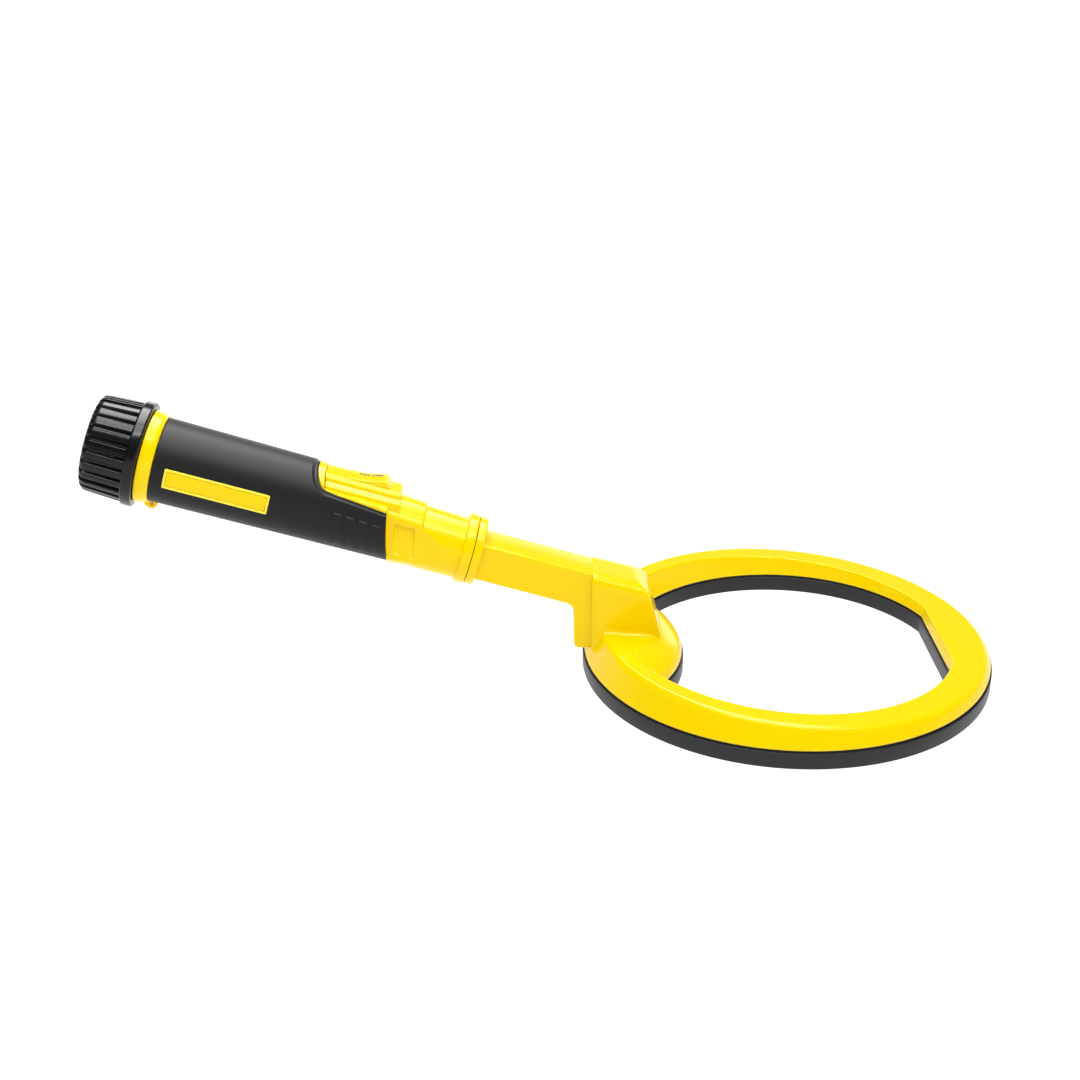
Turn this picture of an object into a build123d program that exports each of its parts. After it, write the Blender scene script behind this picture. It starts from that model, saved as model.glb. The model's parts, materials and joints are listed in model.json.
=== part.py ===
from build123d import *
import os
from math import cos, radians, sin, sqrt, tan

# Underwater metal detector: a ribbed rubber-gripped handle with a plug-in search coil.
# Millimetres, +Z up. The part stands on its coil. World X runs from the end cap to the coil's tip.
# The handle is drawn in its own frame: x along the grip axis with 0 at the coupling face and
# + towards the coil, y across, w square to the axis and upwards.

# Search coil, seen from above
COIL_RADIUS = 100.0
BAND_WIDTH = 20.5
CHORD_SETBACK = 25.7
LOBE_SETBACK = 17.0
LOBE_RADIUS = 66.8

# Search coil, in section
SKID_HEIGHT = 8.8
SKID_FLOOR = 3.4
SKID_WALL = 2.6
SHELL_SETBACK = 0.8
SHELL_WALL = 2.2
SHELL_LEAN = 27.0
HOLE_LEAN = 18.0
LOBE_LEAN = 40.0
SHELL_LIP = 1.2
CROWN_HEIGHT = 18.6
CROWN_SLOPE = 3.1
CROWN_ROUND = 2.6
WINDING_INSET = 11.0
WINDING_WIDTH = 6.0
WINDING_DEPTH = 4.6
POTTING_GAP = 0.1

# How the handle stands over the coil
PITCH = 17.0
STEM_HEIGHT = 50.6
STEM_REACH = 54.9
STEM_DROP = 4.3
RING_DROP = 3.8

# Stem arm and pedestal
STEM_FLANGE_RADIUS = 16.7
STEM_FLANGE_LENGTH = 4.1
ARM_WIDTH = 20.4
ARM_HEIGHT = 18.6
ARM_DROP = 5.2
ARM_CORNER = 3.0
PEDESTAL_OVERHANG = 4.6
PEDESTAL_HEEL_LENGTH = 8.6
PEDESTAL_TOP_LENGTH = 27.0
PEDESTAL_TOE_LEAN = 11.0
PEDESTAL_WIDTH = 28.0
PEDESTAL_STEP = 0.6
PEDESTAL_TOP_SLOPE = 15.5
PEDESTAL_ROUND = 4.5
PEDESTAL_HEEL = 13.5
UNDERSIDE_FILLET = 4.5

# Spigot, plug and lead of the coil
SPIGOT_RADIUS = 9.6
SPIGOT_LENGTH = 27.0
SPIGOT_BORE = 5.6
SPIGOT_ROOT = 14.0
SPIGOT_ROOT_RADIUS = 7.0
SPIGOT_CLEARANCE = 0.08
RING_SECTION = 0.9
RING_SQUEEZE = 0.03
RING_POSITIONS = (6.0, 11.0)
PLUG_LENGTH = 10.0
PIN_RADIUS = 0.75
PIN_REACH = 7.0
PIN_SPREAD = 2.3
PIN_CLEARANCE = 0.1
LEAD_RADIUS = 1.5
LEAD_CLEARANCE = 0.5
LEAD_BEND = 12.0

# Lengths along the handle
COUPLING_GAP = 0.3
RING_LENGTH = 5.1
NECK_LENGTH = 20.4
BLOCK_LENGTH = 12.1
GRIP_LENGTH = 114.9
COLLAR_LENGTH = 6.3
CAP_LENGTH = 25.3
CAP_FLANGE_LENGTH = 5.2
THREAD_LENGTH = 19.0
JOINT_GAP = 0.2
CAP_GAP = 0.3

# Handle housing and grip
NOSE_RADIUS = 17.1
BLOCK_REAR_RADIUS = 16.7
BLOCK_FRONT_RADIUS = 15.85
BLOCK_DROP = 3.2
BARREL_REAR_RADIUS = 15.45
BARREL_FRONT_RADIUS = 15.0
BARREL_REAR_DROP = 4.05
BARREL_FRONT_DROP = 4.5
FLAT_WIDTH = 26.0
PANEL_LENGTH = 10.0
PANEL_HEIGHT = 15.0
PANEL_DEPTH = 0.8
PANEL_MARGIN = 3.4
GRIP_REAR_RADIUS = 20.15
GRIP_FRONT_RADIUS = 19.0
GRIP_SLANT = 12.3
RUBBER = 1.6
RUBBER_GAP = 0.05
BORE_RADIUS = 15.3
CAVITY_END_WALL = 8.0
THREAD_RADIUS = 17.8
THREAD_CLEARANCE = 0.1

# Label plates
LABEL_LENGTH = 49.0
LABEL_HEIGHT = 9.6
LABEL_SETBACK = 6.0
LABEL_THICKNESS = 1.2
LABEL_PROUD = 0.25
LABEL_RIM = 0.9
LABEL_RECESS = 0.35
LABEL_GAP = 0.1

# Slide switch on top of the grip
WINDOW_LENGTH = 42.4
WINDOW_WIDTH = 29.2
WINDOW_FRONT_WIDTH = 32.2
WINDOW_CORNER = 9.0
WINDOW_GAP = 0.15
WINDOW_LIP = 5.5
DECK_FLOOR = 11.8
DECK_LEDGE = 14.2
DECK_TOP = 17.4
DECK_BASE_WIDTH = 22.4
DECK_LEDGE_WIDTH = 21.2
DECK_STEP_WIDTH = 15.0
DECK_TOP_WIDTH = 12.6
DECK_NOSE = 5.8
ROOF_WALL = 2.5
SLIDER_LENGTH = 20.5
SLIDER_WIDTH = 11.0
SLIDER_TAIL = 0.4
SLIDER_DIP = 0.6
SLIDER_DIP_RUN = 7.0
SLIDER_RISE = 3.0
SLIDER_NOSE_RUN = 3.0
SLIDER_REAR = 9.3
SLIDER_TRAVEL = 4.0
SLIDER_GAP = 0.3
TONGUE_WIDTH = 5.0
TONGUE_LENGTH = 14.0
MAGNET_RADIUS = 1.5
MAGNET_LENGTH = 5.0

# Collar with its lanyard eye
COLLAR_REAR_RADIUS = 22.4
COLLAR_FRONT_RADIUS = 20.7
EYE_RADIUS = 1.0
EYE_WALL = 1.8
EYE_THICKNESS = 4.6
EYE_REACH = 0.8
EYE_TAIL = 3.0
EYE_CLEARANCE = 0.5

# End cap
CAP_RADIUS = 23.1
CAP_FRONT_RADIUS = 24.0
CAP_FLANGE_RADIUS = 25.1
CAP_WALL = 3.0
CAP_EDGE = 3.2
CAP_RIBS = 26
CAP_GROOVE_WIDTH = 1.7
CAP_GROOVE_DEPTH = 1.1
CAP_FLANGE_CHAMFER = 0.9
GASKET_WIDTH = 2.6
GASKET_GAP = 0.25
NECK_RING_SECTION = 0.6
NECK_RING_POSITION = 5.0

# Battery and its contacts
BATTERY_RADIUS = 7.0
BATTERY_LENGTH = 49.0
BATTERY_NUB_RADIUS = 2.6
BATTERY_NUB_LENGTH = 1.2
BATTERY_GAP = 0.25
HOLDER_WALL = 1.5
HOLDER_FLANGE = 2.0
CONTACT_THICKNESS = 0.8
CONTACT_RADIUS = 9.0
SPRING_HEIGHT = 7.0
SPRING_WIDTH = 6.0
SPRING_SPREAD = 6.0
STRIP_WIDTH = 5.0
STRIP_THICKNESS = 0.4

# Circuit board and what it carries
CARRIER_PLATE = 2.0
CARRIER_TOP = -3.0
CARRIER_DISC = 2.0
CARRIER_GAP = 0.3
RAIL_WIDTH = 2.5
RAIL_HEIGHT = 2.4
BOARD_WIDTH = 20.0
BOARD_THICKNESS = 1.6
BOARD_START = 4.0
SCREW_RADIUS = 1.0
SCREW_HEAD_RADIUS = 1.9
SCREW_HEAD = 1.3
SCREW_GRIP = 3.2
SCREW_INSET = 5.0
SCREW_GAP = 0.02
CHIP_SIZE = 8.0
CHIP_HEIGHT = 1.4
CHIP_OFFSET = 24.0
DRIVER_LENGTH = 6.5
DRIVER_WIDTH = 9.5
DRIVER_HEIGHT = 2.4
DRIVER_OFFSET = 35.0
CAPACITOR_RADIUS = 3.6
CAPACITOR_LENGTH = 11.0
CAPACITOR_OFFSET = 7.0
SENSOR_LENGTH = 4.0
SENSOR_WIDTH = 3.0
SOUNDER_RADIUS = 10.0
SOUNDER_THICKNESS = 1.2

# Vibration motor under the board
MOTOR_RADIUS = 3.0
MOTOR_LENGTH = 10.0
MOTOR_OFFSET = 12.0
MOTOR_DROP = 8.2
MOTOR_CLIP = 1.4
SHAFT_RADIUS = 0.6
SHAFT_CLEARANCE = 0.06
SHAFT_DEPTH = 4.0
WEIGHT_RADIUS = 2.8
WEIGHT_LENGTH = 3.5
WEIGHT_GAP = 0.8

# Socket in the handle's nose
SOCKET_FLANGE = 3.0
SOCKET_FLANGE_GAP = 0.3
SOCKET_NECK_RADIUS = 5.9
SOCKET_NECK_GAP = 0.1
SOCKET_TAIL = 2.0
SLEEVE_WALL = 0.45
SLEEVE_LENGTH = 9.0
SLEEVE_GAP = 0.02

# Places along the handle, worked out from the lengths
X_NOSE = -COUPLING_GAP
X_NECK = X_NOSE - RING_LENGTH
X_BLOCK = X_NECK - NECK_LENGTH
X_GRIP = X_BLOCK - BLOCK_LENGTH
X_GRIP_REAR = X_GRIP - GRIP_LENGTH
X_COLLAR = X_GRIP_REAR - JOINT_GAP
X_COLLAR_REAR = X_COLLAR - COLLAR_LENGTH
X_CAP = X_COLLAR_REAR - CAP_GAP
X_CAP_REAR = X_CAP - CAP_LENGTH
X_CAP_INSIDE = X_CAP_REAR + CAP_WALL
X_THREAD_END = X_CAP - THREAD_LENGTH
X_WINDOW = X_GRIP - WINDOW_LENGTH
X_SPRING_TIP = X_CAP_INSIDE + CONTACT_THICKNESS + SPRING_HEIGHT
X_BATTERY = X_SPRING_TIP + BATTERY_GAP
X_NUB_TIP = X_BATTERY + BATTERY_LENGTH + BATTERY_NUB_LENGTH
X_HOLDER_WALL = X_NUB_TIP + CONTACT_THICKNESS
X_SOUNDER = X_HOLDER_WALL + HOLDER_FLANGE
X_CARRIER = X_SOUNDER + SOUNDER_THICKNESS + CARRIER_GAP
X_CAVITY = X_GRIP - CAVITY_END_WALL
X_PLUG_TIP = X_NOSE - SPIGOT_LENGTH
X_SOCKET = X_PLUG_TIP - SOCKET_FLANGE_GAP - SOCKET_FLANGE
X_SOCKET_TAIL = X_CAVITY - SOCKET_TAIL

# Other worked-out sizes
HOLE_RADIUS = COIL_RADIUS - BAND_WIDTH
CHORD_DISTANCE = COIL_RADIUS - CHORD_SETBACK
LOBE_CENTRE = COIL_RADIUS + LOBE_SETBACK
WINDING_RADIUS = COIL_RADIUS - WINDING_INSET
AXIS_HEIGHT = STEM_HEIGHT - COIL_RADIUS * tan(radians(PITCH))
COUPLING_DISTANCE = COIL_RADIUS / cos(radians(PITCH)) + STEM_REACH
PEDESTAL_REAR = COIL_RADIUS + PEDESTAL_OVERHANG
PEDESTAL_SHOULDER = PEDESTAL_REAR - PEDESTAL_HEEL_LENGTH
PEDESTAL_FRONT = PEDESTAL_SHOULDER - PEDESTAL_TOP_LENGTH
PEDESTAL_TOE = PEDESTAL_FRONT - PEDESTAL_TOE_LEAN
SPIGOT_SEAT = SPIGOT_RADIUS + SPIGOT_CLEARANCE
SHELL_RADIUS = COIL_RADIUS - SHELL_SETBACK
LEAN_RATE = tan(radians(SHELL_LEAN))
HOLE_RATE = tan(radians(HOLE_LEAN))
LOBE_RATE = tan(radians(LOBE_LEAN))
ROOF = DECK_FLOOR - ROOF_WALL
RAIL_TOP = CARRIER_TOP + RAIL_HEIGHT
BOARD_TOP = RAIL_TOP + BOARD_THICKNESS
X_BOARD = X_CARRIER + BOARD_START
X_DECK_REAR = X_WINDOW + WINDOW_LIP + JOINT_GAP
X_SLIDER = X_WINDOW + WINDOW_LIP + SLIDER_REAR
CAP_AXIAL_REACH = (COUPLING_DISTANCE - X_CAP_REAR - CAP_EDGE) * cos(radians(PITCH))
CAP_RADIAL_REACH = (CAP_RADIUS - CAP_EDGE) * sin(radians(PITCH))
REAR_REACH = CAP_AXIAL_REACH + CAP_RADIAL_REACH + CAP_EDGE
COIL_X = (REAR_REACH - COIL_RADIUS) / 2

BELOW = 60.0
FAR = 400.0

coil_place = Pos(COIL_X, 0, 0)
handle_frame = Plane(
    origin=(
        COIL_X - COUPLING_DISTANCE * cos(radians(PITCH)),
        0,
        AXIS_HEIGHT + COUPLING_DISTANCE * sin(radians(PITCH)),
    ),
    x_dir=(cos(radians(PITCH)), 0, -sin(radians(PITCH))),
    z_dir=(sin(radians(PITCH)), 0, cos(radians(PITCH))),
)
handle_place = handle_frame.location


def rod(x0, x1, radius, y=0.0, w=0.0):
    """Cylinder along the handle between two places."""
    turned = Rot(0, 90, 0) * Cylinder(radius, x1 - x0, align=(Align.CENTER, Align.CENTER, Align.MIN))
    return Pos(x0, y, w) * turned


def taper_rod(x0, x1, radius0, radius1, w=0.0):
    """Cone along the handle between two places."""
    turned = Rot(0, 90, 0) * Cone(radius0, radius1, x1 - x0, align=(Align.CENTER, Align.CENTER, Align.MIN))
    return Pos(x0, 0, w) * turned


def tube(x0, x1, outer, inner, y=0.0, w=0.0):
    """Cylinder along the handle with a bore right through it."""
    return rod(x0, x1, outer, y, w) - rod(x0, x1, inner, y, w)


def slab(x0, x1, y0, y1, w0, w1):
    """Box between two corners."""
    return Pos(x0, y0, w0) * Box(x1 - x0, y1 - y0, w1 - w0, align=(Align.MIN, Align.MIN, Align.MIN))


def bar(x0, x1, section):
    """Section drawn across the handle, carried from x0 to x1."""
    return extrude(Plane.YZ.offset(x0) * section, x1 - x0)


def side_plate(points, half_width):
    """Outline drawn in the side view, thickened evenly both ways."""
    return extrude(Plane.XZ * make_face(Polyline(*points, close=True)), half_width, both=True)


def grip_radius(x):
    """Outside radius of the rubber at a place along the grip."""
    share = (x - X_GRIP_REAR) / GRIP_LENGTH
    return GRIP_REAR_RADIUS + (GRIP_FRONT_RADIUS - GRIP_REAR_RADIUS) * share


def grip_cone(x0, x1, offset):
    """Solid cone parallel to the grip's surface."""
    return taper_rod(x0, x1, grip_radius(x0) + offset, grip_radius(x1) + offset)


def slant_edge(w):
    """Place of the grip's leaning front edge at a height across the axis."""
    return X_GRIP - (w + GRIP_FRONT_RADIUS) * tan(radians(GRIP_SLANT))


def before_grip(gap):
    """Everything in front of the grip's leaning edge."""
    return side_plate(
        [
            (slant_edge(-BELOW) + gap, -BELOW),
            (FAR, -BELOW),
            (FAR, BELOW),
            (slant_edge(BELOW) + gap, BELOW),
        ],
        FAR,
    )


def window_prism(gap, front):
    """Column over the switch window, wider towards the front, its two rear corners rounded."""
    rear = X_WINDOW + gap
    half = WINDOW_WIDTH / 2 - gap
    wide = WINDOW_FRONT_WIDTH / 2 - gap
    corner = WINDOW_CORNER - gap
    plan = Polyline((rear + corner, -half), (front, -wide), (front, wide), (rear + corner, half))
    upper = RadiusArc((rear + corner, half), (rear, half - corner), -corner)
    back = Line((rear, half - corner), (rear, corner - half))
    lower = RadiusArc((rear, corner - half), (rear + corner, -half), -corner)
    return extrude(make_face([plan.edges(), upper, back, lower]), BELOW)


def lanyard_lug():
    """Lug under the collar: its rear is in the ring, its nose clears the rubber."""
    eye_w = -(COLLAR_FRONT_RADIUS + EYE_CLEARANCE + EYE_RADIUS)
    nose = rod_across(X_COLLAR + EYE_REACH, eye_w, EYE_RADIUS + EYE_WALL, EYE_THICKNESS)
    tail = slab(
        X_COLLAR - EYE_TAIL,
        X_COLLAR + EYE_REACH,
        -EYE_THICKNESS / 2,
        EYE_THICKNESS / 2,
        eye_w - EYE_RADIUS - EYE_WALL,
        eye_w + EYE_RADIUS + EYE_WALL,
    )
    lug = nose + tail - rod(X_COLLAR, X_GRIP, GRIP_REAR_RADIUS + JOINT_GAP)
    return lug, rod_across(X_COLLAR + EYE_REACH, eye_w, EYE_RADIUS, EYE_THICKNESS)


def rod_across(x, w, radius, length):
    """Cylinder across the handle, centred on it."""
    return Pos(x, 0, w) * Rot(90, 0, 0) * Cylinder(radius, length)


def barrel_section(x):
    """Circle of the tapered barrel at a place along the handle."""
    share = (x - X_BLOCK) / (X_NECK - X_BLOCK)
    radius = BARREL_REAR_RADIUS + (BARREL_FRONT_RADIUS - BARREL_REAR_RADIUS) * share
    drop = BARREL_REAR_DROP + (BARREL_FRONT_DROP - BARREL_REAR_DROP) * share
    return Plane.YZ.offset(x) * Pos(0, -drop) * Circle(radius)


def make_barrel():
    """Tapered block in front of the grip with flat sides, a step down from it to the tapered barrel."""
    widening = (BLOCK_REAR_RADIUS - BLOCK_FRONT_RADIUS) / BLOCK_LENGTH
    behind = BLOCK_REAR_RADIUS + (X_GRIP - X_WINDOW) * widening
    solid = taper_rod(X_WINDOW, X_BLOCK, behind, BLOCK_FRONT_RADIUS, -BLOCK_DROP) & before_grip(0)
    for side in (-1, 1):
        near, far = sorted((side * FLAT_WIDTH / 2, side * FAR))
        solid -= slab(X_WINDOW, X_BLOCK, near, far, -FAR, FAR)
    return solid + loft([barrel_section(X_BLOCK), barrel_section(X_NECK)], ruled=True)


def make_housing():
    """Yellow handle housing: threaded tail, tapered tube, switch floor, barrel and nose ring."""
    solid = grip_cone(X_GRIP_REAR, X_GRIP, -RUBBER - RUBBER_GAP)
    solid += rod(X_CAP, X_GRIP_REAR, GRIP_REAR_RADIUS - RUBBER - RUBBER_GAP)
    solid += rod(X_THREAD_END, X_CAP, THREAD_RADIUS)
    solid += window_prism(WINDOW_GAP, X_GRIP) & grip_cone(X_GRIP_REAR, X_GRIP, -WINDOW_GAP)
    solid -= before_grip(0)
    solid += make_barrel()
    rest = DECK_BASE_WIDTH / 2
    solid += slab(X_WINDOW + WINDOW_LIP, X_GRIP, -rest, rest, ROOF, DECK_FLOOR) - before_grip(DECK_NOSE)
    pocket = slab(X_WINDOW + WINDOW_LIP, X_GRIP, -FAR, FAR, DECK_FLOOR, FAR)
    solid -= pocket - before_grip(DECK_NOSE + JOINT_GAP)
    solid += rod(X_NECK, X_NOSE, NOSE_RADIUS, w=-RING_DROP)
    bore = rod(X_THREAD_END, X_CAVITY, BORE_RADIUS)
    bore -= slab(X_WINDOW - ROOF_WALL, X_CAVITY, -FAR, FAR, ROOF, FAR)
    solid -= bore
    solid -= rod(X_SOCKET, X_NOSE, SPIGOT_SEAT, w=-STEM_DROP)
    solid -= rod(X_CAVITY, X_SOCKET, SOCKET_NECK_RADIUS + SOCKET_NECK_GAP, w=-STEM_DROP)
    low = -BLOCK_DROP - PANEL_HEIGHT / 2
    high = -BLOCK_DROP + PANEL_HEIGHT / 2
    panel = side_plate(
        [
            (slant_edge(low) + PANEL_MARGIN, low),
            (slant_edge(low) + PANEL_MARGIN + PANEL_LENGTH, low),
            (slant_edge(high) + PANEL_MARGIN + PANEL_LENGTH, high),
            (slant_edge(high) + PANEL_MARGIN, high),
        ],
        FAR,
    )
    keep = FLAT_WIDTH / 2 - PANEL_DEPTH
    solid -= panel - slab(-FAR, FAR, -keep, keep, -FAR, FAR)
    ring_seat = tube(
        X_CAP - NECK_RING_POSITION - 2 * NECK_RING_SECTION,
        X_CAP - NECK_RING_POSITION,
        THREAD_RADIUS,
        THREAD_RADIUS - 2 * NECK_RING_SECTION,
    )
    solid -= ring_seat
    solid -= slab(
        X_THREAD_END,
        X_CARRIER,
        -STRIP_WIDTH / 2,
        STRIP_WIDTH / 2,
        -BORE_RADIUS - STRIP_THICKNESS,
        0,
    )
    return solid


def label_block(side, gap, inner, outer):
    """Curved block on the side of the grip where a label plate sits."""
    x0 = X_GRIP_REAR + LABEL_SETBACK - gap
    x1 = x0 + LABEL_LENGTH + 2 * gap
    half = LABEL_HEIGHT / 2 + gap
    ring = grip_cone(x0, x1, outer) - grip_cone(x0, x1, inner)
    near, far = sorted((0, side * FAR))
    return ring & slab(x0, x1, near, far, -half, half)


def make_grip():
    """Rubber sleeve with its switch window and label pockets."""
    solid = grip_cone(X_GRIP_REAR, X_GRIP, 0) - grip_cone(X_GRIP_REAR, X_GRIP, -RUBBER)
    solid -= window_prism(0, X_GRIP)
    solid -= before_grip(-JOINT_GAP)
    for side in (-1, 1):
        solid -= label_block(side, LABEL_GAP, -LABEL_THICKNESS - LABEL_GAP, RUBBER)
    return solid


def make_label(side):
    """Bare label plate with a raised rim."""
    solid = label_block(side, 0, -LABEL_THICKNESS, LABEL_PROUD)
    return solid - label_block(side, -LABEL_RIM, LABEL_PROUD - LABEL_RECESS, RUBBER)


def make_deck():
    """Raised track that the thumb slider runs on: two steps, its front end leaning with the grip's."""
    section = Polyline(
        (-DECK_BASE_WIDTH / 2, DECK_FLOOR),
        (DECK_BASE_WIDTH / 2, DECK_FLOOR),
        (DECK_LEDGE_WIDTH / 2, DECK_LEDGE),
        (DECK_STEP_WIDTH / 2, DECK_LEDGE),
        (DECK_TOP_WIDTH / 2, DECK_TOP),
        (-DECK_TOP_WIDTH / 2, DECK_TOP),
        (-DECK_STEP_WIDTH / 2, DECK_LEDGE),
        (-DECK_LEDGE_WIDTH / 2, DECK_LEDGE),
        close=True,
    )
    solid = bar(X_DECK_REAR, X_GRIP, make_face(section)) - before_grip(DECK_NOSE)
    x0, x1 = tongue_span()
    half = TONGUE_WIDTH / 2 + SLIDER_GAP
    return solid - slab(x0 - SLIDER_GAP, x1 + SLIDER_TRAVEL + SLIDER_GAP, -half, half, DECK_FLOOR, FAR)


def tongue_span():
    """Ends of the slider's tongue, centred under the slider."""
    middle = X_SLIDER + SLIDER_LENGTH / 2
    return middle - TONGUE_LENGTH / 2, middle + TONGUE_LENGTH / 2


def make_slider():
    """Wedge that the thumb pushes, with the tongue that runs in the track."""
    foot = DECK_TOP + SLIDER_GAP
    front = X_SLIDER + SLIDER_LENGTH
    wedge = side_plate(
        [
            (X_SLIDER, foot),
            (front, foot),
            (front - SLIDER_NOSE_RUN, foot + SLIDER_RISE),
            (X_SLIDER + SLIDER_DIP_RUN, foot + SLIDER_DIP),
            (X_SLIDER, foot + SLIDER_TAIL),
        ],
        SLIDER_WIDTH / 2,
    )
    x0, x1 = tongue_span()
    wedge += slab(x0, x1, -TONGUE_WIDTH / 2, TONGUE_WIDTH / 2, DECK_FLOOR + SLIDER_GAP, foot)
    return wedge - make_magnet()


def make_magnet():
    """Magnet let into the slider's tongue from below."""
    middle = X_SLIDER + SLIDER_LENGTH / 2
    place = Pos(middle, 0, DECK_FLOOR + SLIDER_GAP)
    return place * Cylinder(MAGNET_RADIUS, MAGNET_LENGTH, align=(Align.CENTER, Align.CENTER, Align.MIN))


def make_collar():
    """Yellow ring behind the grip with the lanyard lug under it."""
    solid = taper_rod(X_COLLAR_REAR, X_COLLAR, COLLAR_REAR_RADIUS, COLLAR_FRONT_RADIUS)
    lug, eye = lanyard_lug()
    solid += lug
    solid -= rod(X_COLLAR_REAR, X_COLLAR, GRIP_REAR_RADIUS - RUBBER)
    return solid - eye


def make_cap():
    """End cap: ribbed cup widening to a smooth flange, its thread drawn plain."""
    flange = X_CAP - CAP_FLANGE_LENGTH
    bore = THREAD_RADIUS + THREAD_CLEARANCE
    outline = Polyline(
        (X_CAP_REAR + CAP_EDGE, CAP_RADIUS),
        (flange, CAP_FRONT_RADIUS),
        (flange, CAP_FLANGE_RADIUS),
        (X_CAP - CAP_FLANGE_CHAMFER, CAP_FLANGE_RADIUS),
        (X_CAP, CAP_FLANGE_RADIUS - CAP_FLANGE_CHAMFER),
        (X_CAP, bore),
        (X_CAP_INSIDE, bore),
        (X_CAP_INSIDE, 0),
        (X_CAP_REAR, 0),
        (X_CAP_REAR, CAP_RADIUS - CAP_EDGE),
    )
    edge = RadiusArc((X_CAP_REAR, CAP_RADIUS - CAP_EDGE), (X_CAP_REAR + CAP_EDGE, CAP_RADIUS), CAP_EDGE)
    solid = revolve(make_face([outline.edges(), edge]), Axis.X, 360)
    grooves = []
    for index in range(CAP_RIBS):
        groove = slab(
            X_CAP_REAR,
            flange,
            -CAP_GROOVE_WIDTH / 2,
            CAP_GROOVE_WIDTH / 2,
            CAP_RADIUS - CAP_GROOVE_DEPTH,
            FAR,
        )
        grooves.append(Rot(360 * (index + 0.5) / CAP_RIBS, 0, 0) * groove)
    return solid - grooves


def make_gasket():
    """Flat gasket between the cap's floor and the end of the neck."""
    outer = THREAD_RADIUS - GASKET_GAP
    return tube(X_CAP_INSIDE + GASKET_GAP, X_THREAD_END - GASKET_GAP, outer, outer - GASKET_WIDTH)


def make_neck_ring():
    """Sealing ring in the groove of the threaded neck."""
    middle = X_CAP - NECK_RING_POSITION - NECK_RING_SECTION
    ring = Torus(THREAD_RADIUS - NECK_RING_SECTION + RING_SQUEEZE, NECK_RING_SECTION - RING_SQUEEZE)
    return Pos(middle, 0, 0) * Rot(0, 90, 0) * ring


def make_cap_contact():
    """Contact disc on the cap's floor."""
    return rod(X_CAP_INSIDE, X_CAP_INSIDE + CONTACT_THICKNESS, CONTACT_RADIUS)


def make_battery_spring():
    """Bent leaf spring between the cap's contact and the cell."""
    start = X_CAP_INSIDE + CONTACT_THICKNESS
    foot = 2 * CONTACT_THICKNESS
    leaf = [
        (start, -SPRING_SPREAD),
        (X_SPRING_TIP, -CONTACT_THICKNESS),
        (X_SPRING_TIP, CONTACT_THICKNESS),
        (start, SPRING_SPREAD),
        (start, SPRING_SPREAD - foot),
        (X_SPRING_TIP - foot, 0),
        (start, foot - SPRING_SPREAD),
    ]
    return side_plate(leaf, SPRING_WIDTH / 2)


def make_battery():
    """Round cell with its nub."""
    body = rod(X_BATTERY, X_BATTERY + BATTERY_LENGTH, BATTERY_RADIUS)
    return body + rod(X_BATTERY + BATTERY_LENGTH, X_NUB_TIP, BATTERY_NUB_RADIUS)


def make_front_contact():
    """Contact disc at the cell's nub."""
    return rod(X_NUB_TIP, X_HOLDER_WALL, BATTERY_RADIUS - BATTERY_GAP)


def make_holder():
    """Cell tube centred in the bore by a flange at each end."""
    inner = BATTERY_RADIUS + BATTERY_GAP
    flange = BORE_RADIUS - CARRIER_GAP
    start = X_BATTERY + HOLDER_FLANGE
    solid = rod(start, X_SOUNDER, inner + HOLDER_WALL)
    solid += rod(start, start + HOLDER_FLANGE, flange)
    solid += rod(X_HOLDER_WALL, X_SOUNDER, flange)
    return solid - rod(start, X_HOLDER_WALL, inner)


def make_strip():
    """Return strip in the groove along the bottom of the bore."""
    return slab(
        X_THREAD_END + JOINT_GAP,
        X_CARRIER - JOINT_GAP,
        -STRIP_WIDTH / 2 + JOINT_GAP,
        STRIP_WIDTH / 2 - JOINT_GAP,
        -BORE_RADIUS - STRIP_THICKNESS,
        -BORE_RADIUS,
    )


def make_sounder():
    """Sounder disc on the end of the cell holder."""
    return rod(X_SOUNDER, X_SOUNDER + SOUNDER_THICKNESS, SOUNDER_RADIUS)


def screw_places():
    """Places of the board's screws, one on each rail."""
    across = BOARD_WIDTH / 2 - RAIL_WIDTH / 2
    return [(X_BOARD + SCREW_INSET, -across), (X_CAVITY - 2 * SCREW_INSET, across)]


def upright(x, y, w0, w1, radius):
    """Cylinder square to the board."""
    return Pos(x, y, w0) * Cylinder(radius, w1 - w0, align=(Align.CENTER, Align.CENTER, Align.MIN))


def make_carrier():
    """Sled that holds the board on two rails and the motor in a clip."""
    within = BORE_RADIUS - CARRIER_GAP
    x_end = X_SOCKET_TAIL - CARRIER_GAP
    edge = sqrt(within**2 - (CARRIER_TOP - CARRIER_PLATE) ** 2)
    solid = rod(X_CARRIER, X_CARRIER + CARRIER_DISC, within)
    solid += slab(X_CARRIER, x_end, -edge, edge, CARRIER_TOP - CARRIER_PLATE, CARRIER_TOP)
    for side in (-1, 1):
        outer = side * BOARD_WIDTH / 2
        inner = outer - side * RAIL_WIDTH
        solid += slab(X_CARRIER, x_end, min(outer, inner), max(outer, inner), CARRIER_TOP, RAIL_TOP)
    x0 = X_CARRIER + MOTOR_OFFSET
    clip = MOTOR_RADIUS + MOTOR_CLIP
    bottom = -MOTOR_DROP - MOTOR_CLIP
    solid += slab(x0, x0 + MOTOR_LENGTH, -clip, clip, bottom, CARRIER_TOP - CARRIER_PLATE)
    solid -= rod(x0, x0 + MOTOR_LENGTH, MOTOR_RADIUS + SCREW_GAP, w=-MOTOR_DROP)
    for x, y in screw_places():
        solid -= upright(x, y, BOARD_TOP - SCREW_GRIP, RAIL_TOP, SCREW_RADIUS + SCREW_GAP)
    return solid


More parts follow.
